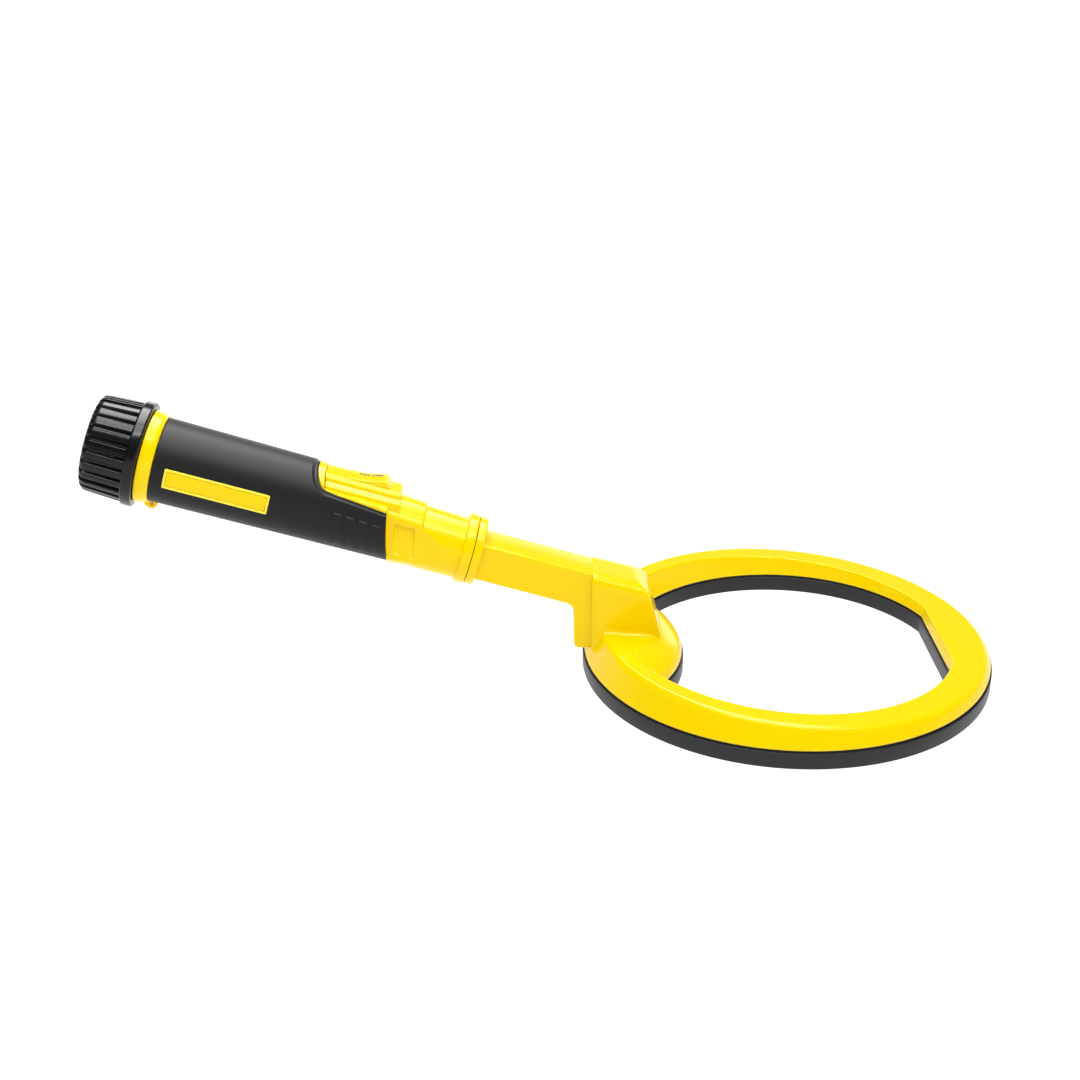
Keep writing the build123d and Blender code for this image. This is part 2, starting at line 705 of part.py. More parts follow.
def make_board():
    """Circuit board, its front edge soldered to the socket block."""
    board = slab(X_BOARD, X_SOCKET_TAIL, -BOARD_WIDTH / 2, BOARD_WIDTH / 2, RAIL_TOP, BOARD_TOP)
    for x, y in screw_places():
        board -= upright(x, y, RAIL_TOP, BOARD_TOP, SCREW_RADIUS + SCREW_GAP)
    return board


def make_screws():
    """The board's screws."""
    screws = []
    for x, y in screw_places():
        shank = upright(x, y, BOARD_TOP - SCREW_GRIP, BOARD_TOP, SCREW_RADIUS)
        screws.append(shank + upright(x, y, BOARD_TOP, BOARD_TOP + SCREW_HEAD, SCREW_HEAD_RADIUS))
    return Compound(children=screws)


def on_board(x, y, length, width, height):
    """Flat component on the board, centred on a place."""
    return slab(x - length / 2, x + length / 2, y - width / 2, y + width / 2, BOARD_TOP, BOARD_TOP + height)


def make_sensor():
    """Field sensor on the board under the slider's magnet, at its far end of travel."""
    middle = X_SLIDER + SLIDER_LENGTH / 2 + SLIDER_TRAVEL
    return on_board(middle, 0, SENSOR_LENGTH, SENSOR_WIDTH, ROOF - JOINT_GAP - BOARD_TOP)


def make_capacitor():
    """Storage capacitor lying on the board."""
    x0 = X_BOARD + CAPACITOR_OFFSET
    return rod(x0, x0 + CAPACITOR_LENGTH, CAPACITOR_RADIUS, w=BOARD_TOP + CAPACITOR_RADIUS)


def make_motor():
    """Vibration motor's can, drilled for its shaft."""
    x0 = X_CARRIER + MOTOR_OFFSET
    can = rod(x0, x0 + MOTOR_LENGTH, MOTOR_RADIUS, w=-MOTOR_DROP)
    hole = SHAFT_RADIUS + SHAFT_CLEARANCE
    return can - rod(x0 + MOTOR_LENGTH - SHAFT_DEPTH, x0 + MOTOR_LENGTH, hole, w=-MOTOR_DROP)


def make_motor_weight():
    """Shaft with the half disc that shakes the handle."""
    face = X_CARRIER + MOTOR_OFFSET + MOTOR_LENGTH
    x0 = face + WEIGHT_GAP
    disc = rod(x0, x0 + WEIGHT_LENGTH, WEIGHT_RADIUS, w=-MOTOR_DROP)
    disc &= slab(x0, x0 + WEIGHT_LENGTH, -FAR, FAR, -MOTOR_DROP - WEIGHT_RADIUS, -MOTOR_DROP)
    shaft = rod(face - SHAFT_DEPTH + SHAFT_CLEARANCE, x0 + WEIGHT_LENGTH, SHAFT_RADIUS, w=-MOTOR_DROP)
    return disc + shaft


def pin_places():
    """The four contacts, on the corners of a square about the stem's axis."""
    return [(y, w - STEM_DROP) for y in (-PIN_SPREAD, PIN_SPREAD) for w in (-PIN_SPREAD, PIN_SPREAD)]


def make_socket_block():
    """Insulating block at the bottom of the socket."""
    front = X_SOCKET + SOCKET_FLANGE
    solid = rod(X_SOCKET, front, SPIGOT_SEAT - JOINT_GAP, w=-STEM_DROP)
    solid += rod(X_SOCKET_TAIL, X_SOCKET, SOCKET_NECK_RADIUS, w=-STEM_DROP)
    hole = PIN_RADIUS + PIN_CLEARANCE + SLEEVE_WALL + SLEEVE_GAP
    for y, w in pin_places():
        solid -= rod(front - SLEEVE_LENGTH, front, hole, y, w)
    return solid


def make_socket_contacts():
    """Contact sleeves in the socket block."""
    front = X_SOCKET + SOCKET_FLANGE
    inner = PIN_RADIUS + PIN_CLEARANCE
    sleeves = [tube(front - SLEEVE_LENGTH, front, inner + SLEEVE_WALL, inner, y, w) for y, w in pin_places()]
    return Compound(children=sleeves)


def make_spigot():
    """Plug-in spigot with two ring grooves, its root let into the stem."""
    solid = rod(X_PLUG_TIP, 0, SPIGOT_RADIUS, w=-STEM_DROP)
    solid += rod(0, SPIGOT_ROOT, SPIGOT_ROOT_RADIUS, w=-STEM_DROP)
    groove_floor = SPIGOT_RADIUS - 2 * RING_SECTION
    for position in RING_POSITIONS:
        x1 = X_NOSE - position
        solid -= tube(x1 - 2 * RING_SECTION, x1, SPIGOT_RADIUS, groove_floor, w=-STEM_DROP)
    solid -= rod(X_PLUG_TIP, X_PLUG_TIP + PLUG_LENGTH, SPIGOT_BORE, w=-STEM_DROP)
    return solid - rod(X_PLUG_TIP, SPIGOT_ROOT, LEAD_RADIUS + LEAD_CLEARANCE, w=-STEM_DROP)


def make_spigot_rings():
    """Sealing rings on the spigot."""
    rings = []
    for position in RING_POSITIONS:
        ring = Torus(SPIGOT_RADIUS - RING_SECTION + RING_SQUEEZE, RING_SECTION - RING_SQUEEZE)
        place = Pos(X_NOSE - position - RING_SECTION, 0, -STEM_DROP)
        rings.append(place * Rot(0, 90, 0) * ring)
    return Compound(children=rings)


def make_plug_insert():
    """Insulating insert that holds the pins in the spigot's end."""
    solid = rod(X_PLUG_TIP, X_PLUG_TIP + PLUG_LENGTH, SPIGOT_BORE, w=-STEM_DROP)
    for y, w in pin_places():
        solid -= rod(X_PLUG_TIP, X_PLUG_TIP + PLUG_LENGTH / 2, PIN_RADIUS + SLEEVE_GAP, y, w)
    return solid


def make_pins():
    """Contact pins standing out of the plug."""
    tip = X_PLUG_TIP - PIN_REACH
    root = X_PLUG_TIP + PLUG_LENGTH / 2
    return Compound(children=[rod(tip, root, PIN_RADIUS, y, w) for y, w in pin_places()])


def hole_solid(offset, bottom, top):
    """Flaring D-shaped hole of the coil: a cone, cut by a leaning chord and by the lobe's cone."""
    rise = top - bottom
    flare = rise * HOLE_RATE
    column = (Align.CENTER, Align.CENTER, Align.MIN)
    solid = Pos(0, 0, bottom) * Cone(HOLE_RADIUS + offset, HOLE_RADIUS + offset + flare, rise, align=column)
    chord = CHORD_DISTANCE + offset
    solid &= side_plate([(-FAR, bottom), (chord, bottom), (chord + flare, top), (-FAR, top)], FAR)
    lobe = Cone(LOBE_RADIUS - offset, LOBE_RADIUS - offset - rise * LOBE_RATE, rise, align=column)
    return solid - Pos(-LOBE_CENTRE, 0, bottom) * lobe


def hole_prism(offset, bottom, top):
    """Straight D-shaped hole of the coil, grown by an offset."""
    column = (Align.CENTER, Align.CENTER, Align.MIN)
    rise = top - bottom
    solid = Pos(0, 0, bottom) * Cylinder(HOLE_RADIUS + offset, rise, align=column)
    solid &= slab(-FAR, CHORD_DISTANCE + offset, -FAR, FAR, bottom, top)
    return solid - Pos(-LOBE_CENTRE, 0, bottom) * Cylinder(LOBE_RADIUS - offset, rise, align=column)


def above_crown(drop):
    """Everything above the sloping crown, lowered by a drop."""
    fall = FAR * tan(radians(CROWN_SLOPE))
    middle = CROWN_HEIGHT - drop
    return side_plate([(-FAR, middle + fall), (FAR, middle - fall), (FAR, FAR), (-FAR, FAR)], FAR)


def crowned_ring(inset, bottom):
    """Ring with leaning walls and a sloping crown, drawn in from the shell's own skin."""
    hole = SHELL_SETBACK + inset
    lip = SKID_HEIGHT + SHELL_LIP
    tall = BELOW
    column = (Align.CENTER, Align.CENTER, Align.MIN)
    radius = SHELL_RADIUS - inset
    solid = Pos(0, 0, bottom) * Cylinder(radius, lip - bottom, align=column)
    solid += Pos(0, 0, lip) * Cone(radius, radius - (tall - lip) * LEAN_RATE, tall - lip, align=column)
    solid -= hole_prism(hole, bottom, lip)
    solid -= hole_solid(hole, lip, tall)
    return solid - above_crown(inset)


def make_shell_ring():
    """Crowned yellow ring, rounded along its crest."""
    solid = crowned_ring(0, SKID_HEIGHT)
    crest = solid.faces().sort_by(Axis.Z)[-1]
    return fillet(crest.edges(), CROWN_ROUND)


def arm_level(x, w):
    """Height of a line along the arm, w from the grip axis, at a distance behind the coil's centre."""
    return AXIS_HEIGHT + x * tan(radians(PITCH)) + w / cos(radians(PITCH))


def pedestal_top(x):
    """Height of the pedestal's top at a distance behind the coil's centre: a step up from the arm's top."""
    shoulder = arm_level(PEDESTAL_SHOULDER, ARM_HEIGHT / 2 - ARM_DROP) + PEDESTAL_STEP
    return shoulder - (PEDESTAL_SHOULDER - x) * tan(radians(PEDESTAL_TOP_SLOPE))


def make_pedestal():
    """Foot of the stem: a narrow heel and a wider body with softly rounded top edges."""
    heel = side_plate(
        [
            (-PEDESTAL_REAR, PEDESTAL_HEEL),
            (-PEDESTAL_FRONT, PEDESTAL_HEEL),
            (-PEDESTAL_FRONT, pedestal_top(PEDESTAL_FRONT) - ARM_HEIGHT / 2),
            (-PEDESTAL_REAR, pedestal_top(PEDESTAL_REAR) - ARM_HEIGHT / 2),
        ],
        ARM_WIDTH / 2,
    )
    body = side_plate(
        [
            (-PEDESTAL_SHOULDER, PEDESTAL_HEEL),
            (-PEDESTAL_TOE, PEDESTAL_HEEL),
            (-PEDESTAL_FRONT, pedestal_top(PEDESTAL_FRONT)),
            (-PEDESTAL_SHOULDER, pedestal_top(PEDESTAL_SHOULDER)),
        ],
        PEDESTAL_WIDTH / 2,
    )
    top = body.faces().sort_by(Axis.Z)[-1]
    return heel + fillet(top.edges(), PEDESTAL_ROUND)


def underside_web():
    """Concave fillet between the arm's underside and the pedestal's rear face."""
    reach = UNDERSIDE_FILLET
    under = -ARM_DROP - ARM_HEIGHT / 2
    corner = arm_level(PEDESTAL_REAR, under)
    return side_plate(
        [
            (-PEDESTAL_REAR, corner),
            (-PEDESTAL_REAR - reach, arm_level(PEDESTAL_REAR + reach, under)),
            (-PEDESTAL_REAR, corner - reach),
        ],
        ARM_WIDTH / 2 - ARM_CORNER,
    )


def make_arm():
    """Rounded box arm from the stem flange into the pedestal, with the flange."""
    arm_end = COUPLING_DISTANCE - (PEDESTAL_REAR + PEDESTAL_SHOULDER) / 2 / cos(radians(PITCH)) + ARM_DROP
    section = Pos(0, -ARM_DROP) * RectangleRounded(ARM_WIDTH, ARM_HEIGHT, ARM_CORNER)
    solid = bar(0, arm_end, section)
    return solid + rod(0, STEM_FLANGE_LENGTH, STEM_FLANGE_RADIUS, w=-RING_DROP)


def lead_path():
    """Route of the coil's lead: along the stem, then down the pedestal to the winding."""
    start = handle_frame.from_local_coords(Vector(X_PLUG_TIP + PLUG_LENGTH, 0, -STEM_DROP))
    down = COIL_X - WINDING_RADIUS
    run = (down - start.X) / cos(radians(PITCH))
    corner = start + handle_frame.x_dir * run
    end = Vector(down, 0, SKID_FLOOR + WINDING_DEPTH)
    return FilletPolyline(start, corner, end, radius=LEAD_BEND)


def lead_tube(radius):
    """Round tube along the lead's route."""
    path = lead_path()
    section = Plane(origin=path @ 0, z_dir=path % 0) * Circle(radius)
    return sweep(section, path=path)


def make_coil_shell():
    """Top shell of the coil with its pedestal, arm and flange, one moulding."""
    solid = coil_place * (make_shell_ring() + make_pedestal())
    arm = handle_place * make_arm()
    solid += arm + coil_place * underside_web()
    solid -= coil_place * crowned_ring(SHELL_WALL, SKID_HEIGHT)
    solid -= handle_place * rod(0, SPIGOT_ROOT, SPIGOT_ROOT_RADIUS, w=-STEM_DROP)
    return solid - lead_tube(LEAD_RADIUS + LEAD_CLEARANCE)


def winding_ring(gap):
    """Square-section ring where the winding lies."""
    half = WINDING_WIDTH / 2 + gap
    column = (Align.CENTER, Align.CENTER, Align.MIN)
    depth = WINDING_DEPTH + gap
    ring = Cylinder(WINDING_RADIUS + half, depth, align=column)
    ring -= Cylinder(WINDING_RADIUS - half, depth, align=column)
    return coil_place * Pos(0, 0, SKID_FLOOR) * ring


def make_potting():
    """Resin that fills the tray and the shell around the winding."""
    wall = SKID_WALL + POTTING_GAP
    column = (Align.CENTER, Align.CENTER, Align.MIN)
    rise = SKID_HEIGHT - SKID_FLOOR
    low = Pos(0, 0, SKID_FLOOR) * Cylinder(COIL_RADIUS - wall, rise, align=column)
    low -= hole_prism(wall, SKID_FLOOR, SKID_HEIGHT)
    solid = low + crowned_ring(wall, SKID_HEIGHT)
    solid = coil_place * solid - winding_ring(POTTING_GAP)
    return solid - lead_tube(LEAD_RADIUS + LEAD_CLEARANCE)


def make_skid():
    """Black skid tray under the coil."""
    column = (Align.CENTER, Align.CENTER, Align.MIN)
    solid = Cylinder(COIL_RADIUS, SKID_HEIGHT, align=column) - hole_prism(0, 0, SKID_HEIGHT)
    rise = SKID_HEIGHT - SKID_FLOOR
    pocket = Pos(0, 0, SKID_FLOOR) * Cylinder(COIL_RADIUS - SKID_WALL, rise, align=column)
    pocket -= hole_prism(SKID_WALL, SKID_FLOOR, SKID_HEIGHT)
    return coil_place * (solid - pocket)


handle_pieces = {
    "handle_housing": make_housing(),
    "grip_sleeve": make_grip(),
    "label_plate_left": make_label(1),
    "label_plate_right": make_label(-1),
    "switch_deck": make_deck(),
    "thumb_slider": make_slider(),
    "slider_magnet": make_magnet(),
    "lanyard_collar": make_collar(),
    "end_cap": make_cap(),
    "cap_gasket": make_gasket(),
    "neck_ring": make_neck_ring(),
    "cap_contact": make_cap_contact(),
    "battery_spring": make_battery_spring(),
    "battery_cell": make_battery(),
    "front_contact": make_front_contact(),
    "battery_holder": make_holder(),
    "return_strip": make_strip(),
    "sounder_disc": make_sounder(),
    "board_carrier": make_carrier(),
    "circuit_board": make_board(),
    "board_screws": make_screws(),
    "control_chip": on_board(X_BOARD + CHIP_OFFSET, 0, CHIP_SIZE, CHIP_SIZE, CHIP_HEIGHT),
    "pulse_driver": on_board(X_BOARD + DRIVER_OFFSET, 0, DRIVER_LENGTH, DRIVER_WIDTH, DRIVER_HEIGHT),
    "storage_capacitor": make_capacitor(),
    "field_sensor": make_sensor(),
    "vibration_motor": make_motor(),
    "motor_weight": make_motor_weight(),
    "socket_block": make_socket_block(),
    "socket_contacts": make_socket_contacts(),
    "coil_spigot": make_spigot(),
    "spigot_rings": make_spigot_rings(),
    "plug_insert": make_plug_insert(),
    "contact_pins": make_pins(),
}
coil_pieces = {
    "coil_shell": make_coil_shell(),
    "coil_lead": lead_tube(LEAD_RADIUS),
    "search_winding": winding_ring(0),
    "coil_potting": make_potting(),
    "skid_plate": make_skid(),
}

os.makedirs("parts", exist_ok=True)
for name, piece in handle_pieces.items():
    export_step(handle_place * piece, f"parts/{name}.step")
for name, piece in coil_pieces.items():
    export_step(piece, f"parts/{name}.step")
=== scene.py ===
"""Looks of an underwater metal detector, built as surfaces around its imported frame."""

import json
from math import cos, pi, radians, sin, tan
from types import SimpleNamespace

import bmesh
import bpy
import numpy as np
from bpy.props import FloatProperty, FloatVectorProperty, IntProperty, PointerProperty
from bpy.types import Operator, Panel, PropertyGroup
from mathutils import Matrix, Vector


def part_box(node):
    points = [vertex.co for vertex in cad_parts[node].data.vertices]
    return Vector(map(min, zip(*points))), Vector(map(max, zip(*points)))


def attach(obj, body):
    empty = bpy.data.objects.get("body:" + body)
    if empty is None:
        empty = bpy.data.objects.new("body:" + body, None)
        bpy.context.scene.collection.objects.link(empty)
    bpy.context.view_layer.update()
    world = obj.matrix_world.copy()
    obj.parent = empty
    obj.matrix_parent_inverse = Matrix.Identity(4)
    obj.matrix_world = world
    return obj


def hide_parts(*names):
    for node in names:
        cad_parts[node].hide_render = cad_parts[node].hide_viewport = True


bl_info = {
    "name": "Underwater metal detector",
    "version": (1, 0, 0),
    "blender": (4, 5, 0),
    "location": "3D View > Sidebar > Detector",
    "description": "Dresses the detector's frame with moulded surfaces and finishes",
    "category": "Object",
}

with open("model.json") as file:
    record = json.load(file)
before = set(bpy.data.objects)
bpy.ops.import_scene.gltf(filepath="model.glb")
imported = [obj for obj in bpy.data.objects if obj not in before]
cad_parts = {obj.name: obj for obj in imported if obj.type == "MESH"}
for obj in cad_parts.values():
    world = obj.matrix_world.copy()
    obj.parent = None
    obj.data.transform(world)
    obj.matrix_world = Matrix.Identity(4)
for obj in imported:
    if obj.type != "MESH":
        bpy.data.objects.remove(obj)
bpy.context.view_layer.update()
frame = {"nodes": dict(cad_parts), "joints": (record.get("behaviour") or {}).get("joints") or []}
JOINTS = {joint["name"]: joint for joint in frame["joints"]}

# The handle's own frame: x along the grip with 0 at the coupling face, y across, w upwards
HINGE_SETBACK = 0.1699
ALONG = np.array(JOINTS["coil_pull"]["axis"])
ACROSS = np.array([0.0, 1.0, 0.0])
UPWARD = np.array([-ALONG[2], 0.0, ALONG[0]])
COUPLING = np.array(JOINTS["cap_turn"]["pos_m"]) + HINGE_SETBACK * ALONG
COIL_LOW, COIL_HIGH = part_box("skid_plate")
COIL_X = (COIL_LOW.x + COIL_HIGH.x) / 2
COIL_COLUMNS = 720
MERGE = 1e-6

# Power of the window's rounded outline, and the groove and section of the neck's sealing ring
WINDOW_POWER = 2.6
SEAL_SETBACK = 0.0056
SEAL_ROOM = 0.0006
SEAL_SECTION = 0.00057

# How a grid closes: round on itself or not, and with its first and last rows filled or not
RING = (True, False)
CAPPED = (True, True)
PATCH = (False, False)

# Finish shared by the yellow mouldings, white, and the point that the lights face
SATIN = {"rough": 0.17, "grain": 1400.0, "spread": 0.05, "depth": 0.000006, "specular": 0.3}
WHITE = (1.0, 1.0, 1.0)
PART_MIDDLE = (0.0, 0.0, 0.05)


def span(label, words, metres):
    """Length that a user may change, in metres."""
    return FloatProperty(
        name=label, description=words, default=metres, min=0.0, precision=5, unit="LENGTH"
    )


def lean(label, words, degrees):
    """Angle that a user may change."""
    return FloatProperty(name=label, description=words, default=radians(degrees), subtype="ANGLE")


def paint(label, words, colour):
    """Linear colour that a user may change."""
    return FloatVectorProperty(
        name=label, description=words, default=colour, size=3, min=0.0, max=1.0, subtype="COLOR"
    )


class HandleSizes(PropertyGroup):
    """Sizes along and across the handle."""

    gap: span("Coupling gap", "Gap between the nose ring and the stem flange", 0.0003)
    ring: span("Nose ring length", "Ring at the front of the housing", 0.0051)
    neck: span("Barrel length", "Round barrel behind the nose ring", 0.0204)
    block: span("Block length", "Flat-sided stretch of the barrel", 0.0121)
    grip: span("Grip length", "Rubber sleeve along its underside", 0.1149)
    joint: span("Joint gap", "Gap between the rubber and the collar", 0.0002)
    collar: span("Collar length", "Yellow ring behind the grip", 0.0063)
    cap_gap: span("Cap gap", "Gap between the collar and the cap", 0.0003)
    nose_radius: span("Nose ring radius", "Outside radius of the nose ring", 0.0171)
    ring_drop: span("Ring drop", "Centre of the nose ring below the grip axis", 0.0038)
    stem_drop: span("Stem drop", "Centre of the socket below the grip axis", 0.0043)
    block_rear: span("Block rear radius", "Flat-sided block at the rubber", 0.0167)
    block_front: span("Block front radius", "Flat-sided block at its step", 0.01585)
    block_round: span("Block rounding", "Rounding of the block's upper front edge", 0.0012)
    block_drop: span("Block drop", "Centre of the block below the grip axis", 0.0032)
    rear_radius: span("Barrel rear radius", "Barrel at the block's step", 0.01545)
    front_radius: span("Barrel front radius", "Barrel at the nose ring", 0.015)
    rear_drop: span("Barrel rear drop", "Barrel centre at the block's step", 0.00405)
    front_drop: span("Barrel front drop", "Barrel centre at the nose ring", 0.0045)
    flat: span("Flat width", "Across the flat sides of the barrel", 0.026)
    panel: span("Panel length", "Recessed panel along the handle", 0.010)
    panel_height: span("Panel height", "Recessed panel from top to bottom", 0.015)
    panel_depth: span("Panel depth", "How deep the side panels are let in", 0.0010)
    panel_margin: span("Panel margin", "From the rubber's edge to the panel", 0.0034)
    socket_radius: span("Socket radius", "Bore that takes the coil's spigot", 0.00968)
    socket_depth: span("Socket depth", "Depth of the socket from the nose", 0.0273)
    thread_radius: span("Neck radius", "Threaded neck that carries the cap", 0.0178)
    thread_length: span("Neck length", "Threaded neck behind the collar", 0.019)
    thread_pitch: span("Thread pitch", "Advance of the cap in one turn", 0.003)


class GripSizes(PropertyGroup):
    """Sizes of the rubber sleeve and the label plates."""

    rear_radius: span("Rear radius", "Rubber at the collar", 0.02015)
    front_radius: span("Front radius", "Rubber at its front edge", 0.019)
    slant: lean("Front slant", "Lean of the rubber's front edge", 12.3)
    rubber: span("Rubber thickness", "Wall of the sleeve", 0.0016)
    window: span("Window length", "Switch window measured from the grip's front", 0.0424)
    window_width: span("Window width", "Switch window across the handle", 0.0292)
    window_front: span("Window front", "Switch window at the grip's front", 0.0322)
    window_corner: span("Window corner", "Length of the window's rounded rear", 0.009)
    border_depth: span("Border depth", "Border round the window below the rubber", 0.0007)
    border: span("Border width", "Border round the window", 0.0022)
    pads: IntProperty(name="Finger pads", description="Pads on each side of the rubber", default=4)
    pad_pitch: span("Pad pitch", "From one finger pad to the next", 0.0061)
    pad_rise: span("Pad rise", "How far the finger pads stand up", 0.0006)
    label: span("Label length", "Label plate along the grip", 0.049)
    label_height: span("Label height", "Label plate across the grip", 0.0096)
    label_setback: span("Label setback", "From the rubber's rear edge to the plate", 0.006)
    label_proud: span("Label proud", "Rim of the plate above the rubber", 0.0005)
    label_recess: span("Label recess", "Field of the plate below its rim", 0.0003)
    label_rim: span("Label rim", "Width of the plate's raised rim", 0.0011)


class SwitchSizes(PropertyGroup):
    """Sizes of the slide switch."""

    floor: span("Floor height", "Switch floor above the grip axis", 0.0118)
    ledge: span("Ledge height", "Ledge of the track above the grip axis", 0.0142)
    top: span("Track height", "Top of the track above the grip axis", 0.0174)
    base_width: span("Track base width", "Track across its foot", 0.0224)
    ledge_width: span("Ledge width", "Track across the outside of its ledge", 0.0212)
    step_width: span("Step width", "Track across the foot of its upper step", 0.015)
    top_width: span("Track top width", "Track across its top", 0.0114)
    ledge_fall: span("Ledge fall", "Drop of the ledge towards its outside", 0.0009)
    step_wall: span("Step wall", "Wall between the ledge and the sloped shoulder", 0.0013)
    lip: span("Rear lip", "From the window's rear to the switch floor", 0.0055)
    lip_run: span("Lip run", "Slope between the rear lip and the floor", 0.0022)
    nose: span("Track nose", "Track's front end ahead of the rubber's edge", 0.0058)
    slider: span("Slider length", "Thumb slider along the handle", 0.0205)
    slider_width: span("Slider width", "Thumb slider across the handle", 0.011)
    slider_rise: span("Slider rise", "Height of the slider's crest", 0.003)
    slider_tail: span("Slider tail", "Height of the slider's rear edge", 0.0004)
    slider_dip: span("Slider dip", "Height of the slider at the foot of its slope", 0.0006)
    slider_dip_run: span("Slider dip run", "From the slider's rear to the foot of its slope", 0.007)
    slider_nose: span("Slider nose run", "Lean of the slider's front face", 0.003)
    slider_rear: span("Slider setback", "From the rear lip to the slider", 0.0093)
    slider_gap: span("Slider gap", "Gap under the slider", 0.0003)


class CapSizes(PropertyGroup):
    """Sizes of the end cap and of the collar."""

    length: span("Cap length", "End cap along the handle", 0.0253)
    flange: span("Flange length", "Smooth flange at the cap's mouth", 0.0052)
    radius: span("Cap radius", "Over the ribs at the rear", 0.0231)
    front_radius: span("Cap front radius", "Over the ribs at the flange", 0.024)
    flange_radius: span("Flange radius", "Over the smooth flange", 0.0251)
    edge: span("Rear edge", "Rounding of the cap's rear edge", 0.0032)
    wall: span("Cap wall", "Thickness of the cap's floor", 0.003)
    clearance: span("Thread clearance", "Between the cap's bore and the neck", 0.0001)
    ribs: IntProperty(name="Ribs", description="Number of ribs round the cap", default=26)
    groove: span("Groove width", "Groove between two ribs", 0.0017)
    groove_depth: span("Groove depth", "Depth of the grooves", 0.0011)
    collar_rear: span("Collar rear radius", "Collar beside the cap", 0.0224)
    collar_front: span("Collar front radius", "Collar beside the rubber", 0.0207)
    eye: span("Eye radius", "Bore of the lanyard eye", 0.001)
    eye_wall: span("Eye wall", "Wall round the lanyard eye", 0.0018)
    eye_width: span("Eye width", "Lug across the handle", 0.0046)
    eye_reach: span("Eye reach", "Eye's centre ahead of the collar", 0.0008)
    eye_tail: span("Eye tail", "Lug's rear behind the collar's front edge", 0.003)
    eye_clearance: span("Eye clearance", "Between the eye and the collar", 0.0005)


class CoilSizes(PropertyGroup):
    """Sizes of the search coil, its pedestal, stem and spigot."""

    band: span("Band width", "Skid from its rim to the round part of the hole", 0.0205)
    chord: span("Chord setback", "Straight side of the hole inside the rim", 0.0257)
    lobe: span("Lobe setback", "Centre of the lobe outside the rim", 0.017)
    lobe_radius: span("Lobe radius", "Radius of the lobe under the pedestal", 0.0668)
    setback: span("Shell setback", "Shell inside the skid's edges", 0.0008)
    skid: span("Skid height", "Black skid under the coil", 0.0088)
    seam: span("Seam", "Shadow gap between skid and shell", 0.0003)
    lip: span("Shell lip", "Upright edge of the shell", 0.0012)
    slope: lean("Wall lean", "Lean of the shell's outer wall", 27.0)
    hole_slope: lean("Hole lean", "Lean of the shell's wall round the hole", 18.0)
    lobe_slope: lean("Lobe lean", "Lean of the slope over the lobe", 43.0)
    lobe_rim: span("Lobe rim", "Rounded rim at the lobe's edge", 0.002)
    crown: span("Crown height", "Top of the shell at the coil's centre", 0.0186)
    crown_slope: lean("Crown slope", "Fall of the crown towards the coil's tip", 3.1)
    crown_blend: span("Crown blend", "Softness of the crest", 0.0032)
    crest_blend: span("Crest blend", "Softness of the edge between crown and hole", 0.0014)
    lobe_blend: span("Lobe blend", "Softness of the slope over the lobe", 0.009)
    valley: span("Valley blend", "Softness where the lobe meets the ring", 0.002)
    groove: span("Groove depth", "Depth of the shadow groove on top of the skid", 0.0011)
    groove_height: span("Groove height", "Height of the shadow groove", 0.0009)
    flange_radius: span("Stem flange radius", "Flange that meets the nose ring", 0.0167)
    flange: span("Stem flange length", "Flange along the stem", 0.0041)
    arm_width: span("Arm width", "Stem across the handle", 0.0204)
    arm_height: span("Arm height", "Stem from top to bottom", 0.0186)
    arm_drop: span("Arm drop", "Centre of the stem below the grip axis", 0.0052)
    arm_edge: span("Arm edge", "Rounding of the stem's long edges", 0.0013)
    overhang: span("Heel overhang", "Heel outside the coil's rim", 0.0046)
    heel: span("Heel length", "Narrow heel of the pedestal", 0.0086)
    heel_foot: span("Heel foot", "Underside of the heel above the floor", 0.0135)
    body: span("Pedestal length", "Top of the pedestal's wide body", 0.027)
    toe: span("Toe lean", "Lean of the pedestal's front face", 0.011)
    width: span("Pedestal width", "Pedestal across the coil", 0.028)
    step: span("Pedestal step", "Pedestal's top above the stem's top", 0.0006)
    top_slope: lean("Pedestal top slope", "Fall of the pedestal's top", 15.5)
    top_round: span("Pedestal rounding", "Rounding of the pedestal's top edges", 0.006)
    corner: span("Pedestal corner", "Rounding of the pedestal's front corners", 0.0016)
    foot_round: span("Foot fillet", "Fillet between the pedestal and the shell", 0.0026)
    web: span("Underside fillet", "Fillet between the stem and the heel", 0.0045)
    spigot: span("Spigot radius", "Plug-in spigot", 0.0096)
    spigot_length: span("Spigot length", "Spigot behind the nose", 0.027)
    ring_section: span("Ring section", "Section radius of a sealing ring", 0.0009)
    ring_first: span("First ring", "First sealing ring behind the nose", 0.006)
    ring_second: span("Second ring", "Second sealing ring behind the nose", 0.011)


class Finishes(PropertyGroup):
    """Colours of the finishes."""

    yellow: paint("Yellow", "Moulded yellow plastic", (0.98, 0.70, 0.0))
    rubber: paint("Rubber", "Grip rubber", (0.014, 0.014, 0.0148))
    cap: paint("Cap black", "Glossy black plastic of the cap", (0.005, 0.005, 0.006))
    skid: paint("Skid black", "Satin black plastic of the skid", (0.014, 0.014, 0.016))
    ink: paint("Mark ink", "Printed switch marks", (0.02, 0.015, 0.01))


def sizes_of(group):
    """Sizes of one group held by the scene: handle, grip, switch, cap or coil."""
    return getattr(bpy.context.scene, f"detector_{group}")


def colour_of(finish):
    """Linear colour of one finish held by the scene."""
    return tuple(getattr(bpy.context.scene.detector_finish, finish))


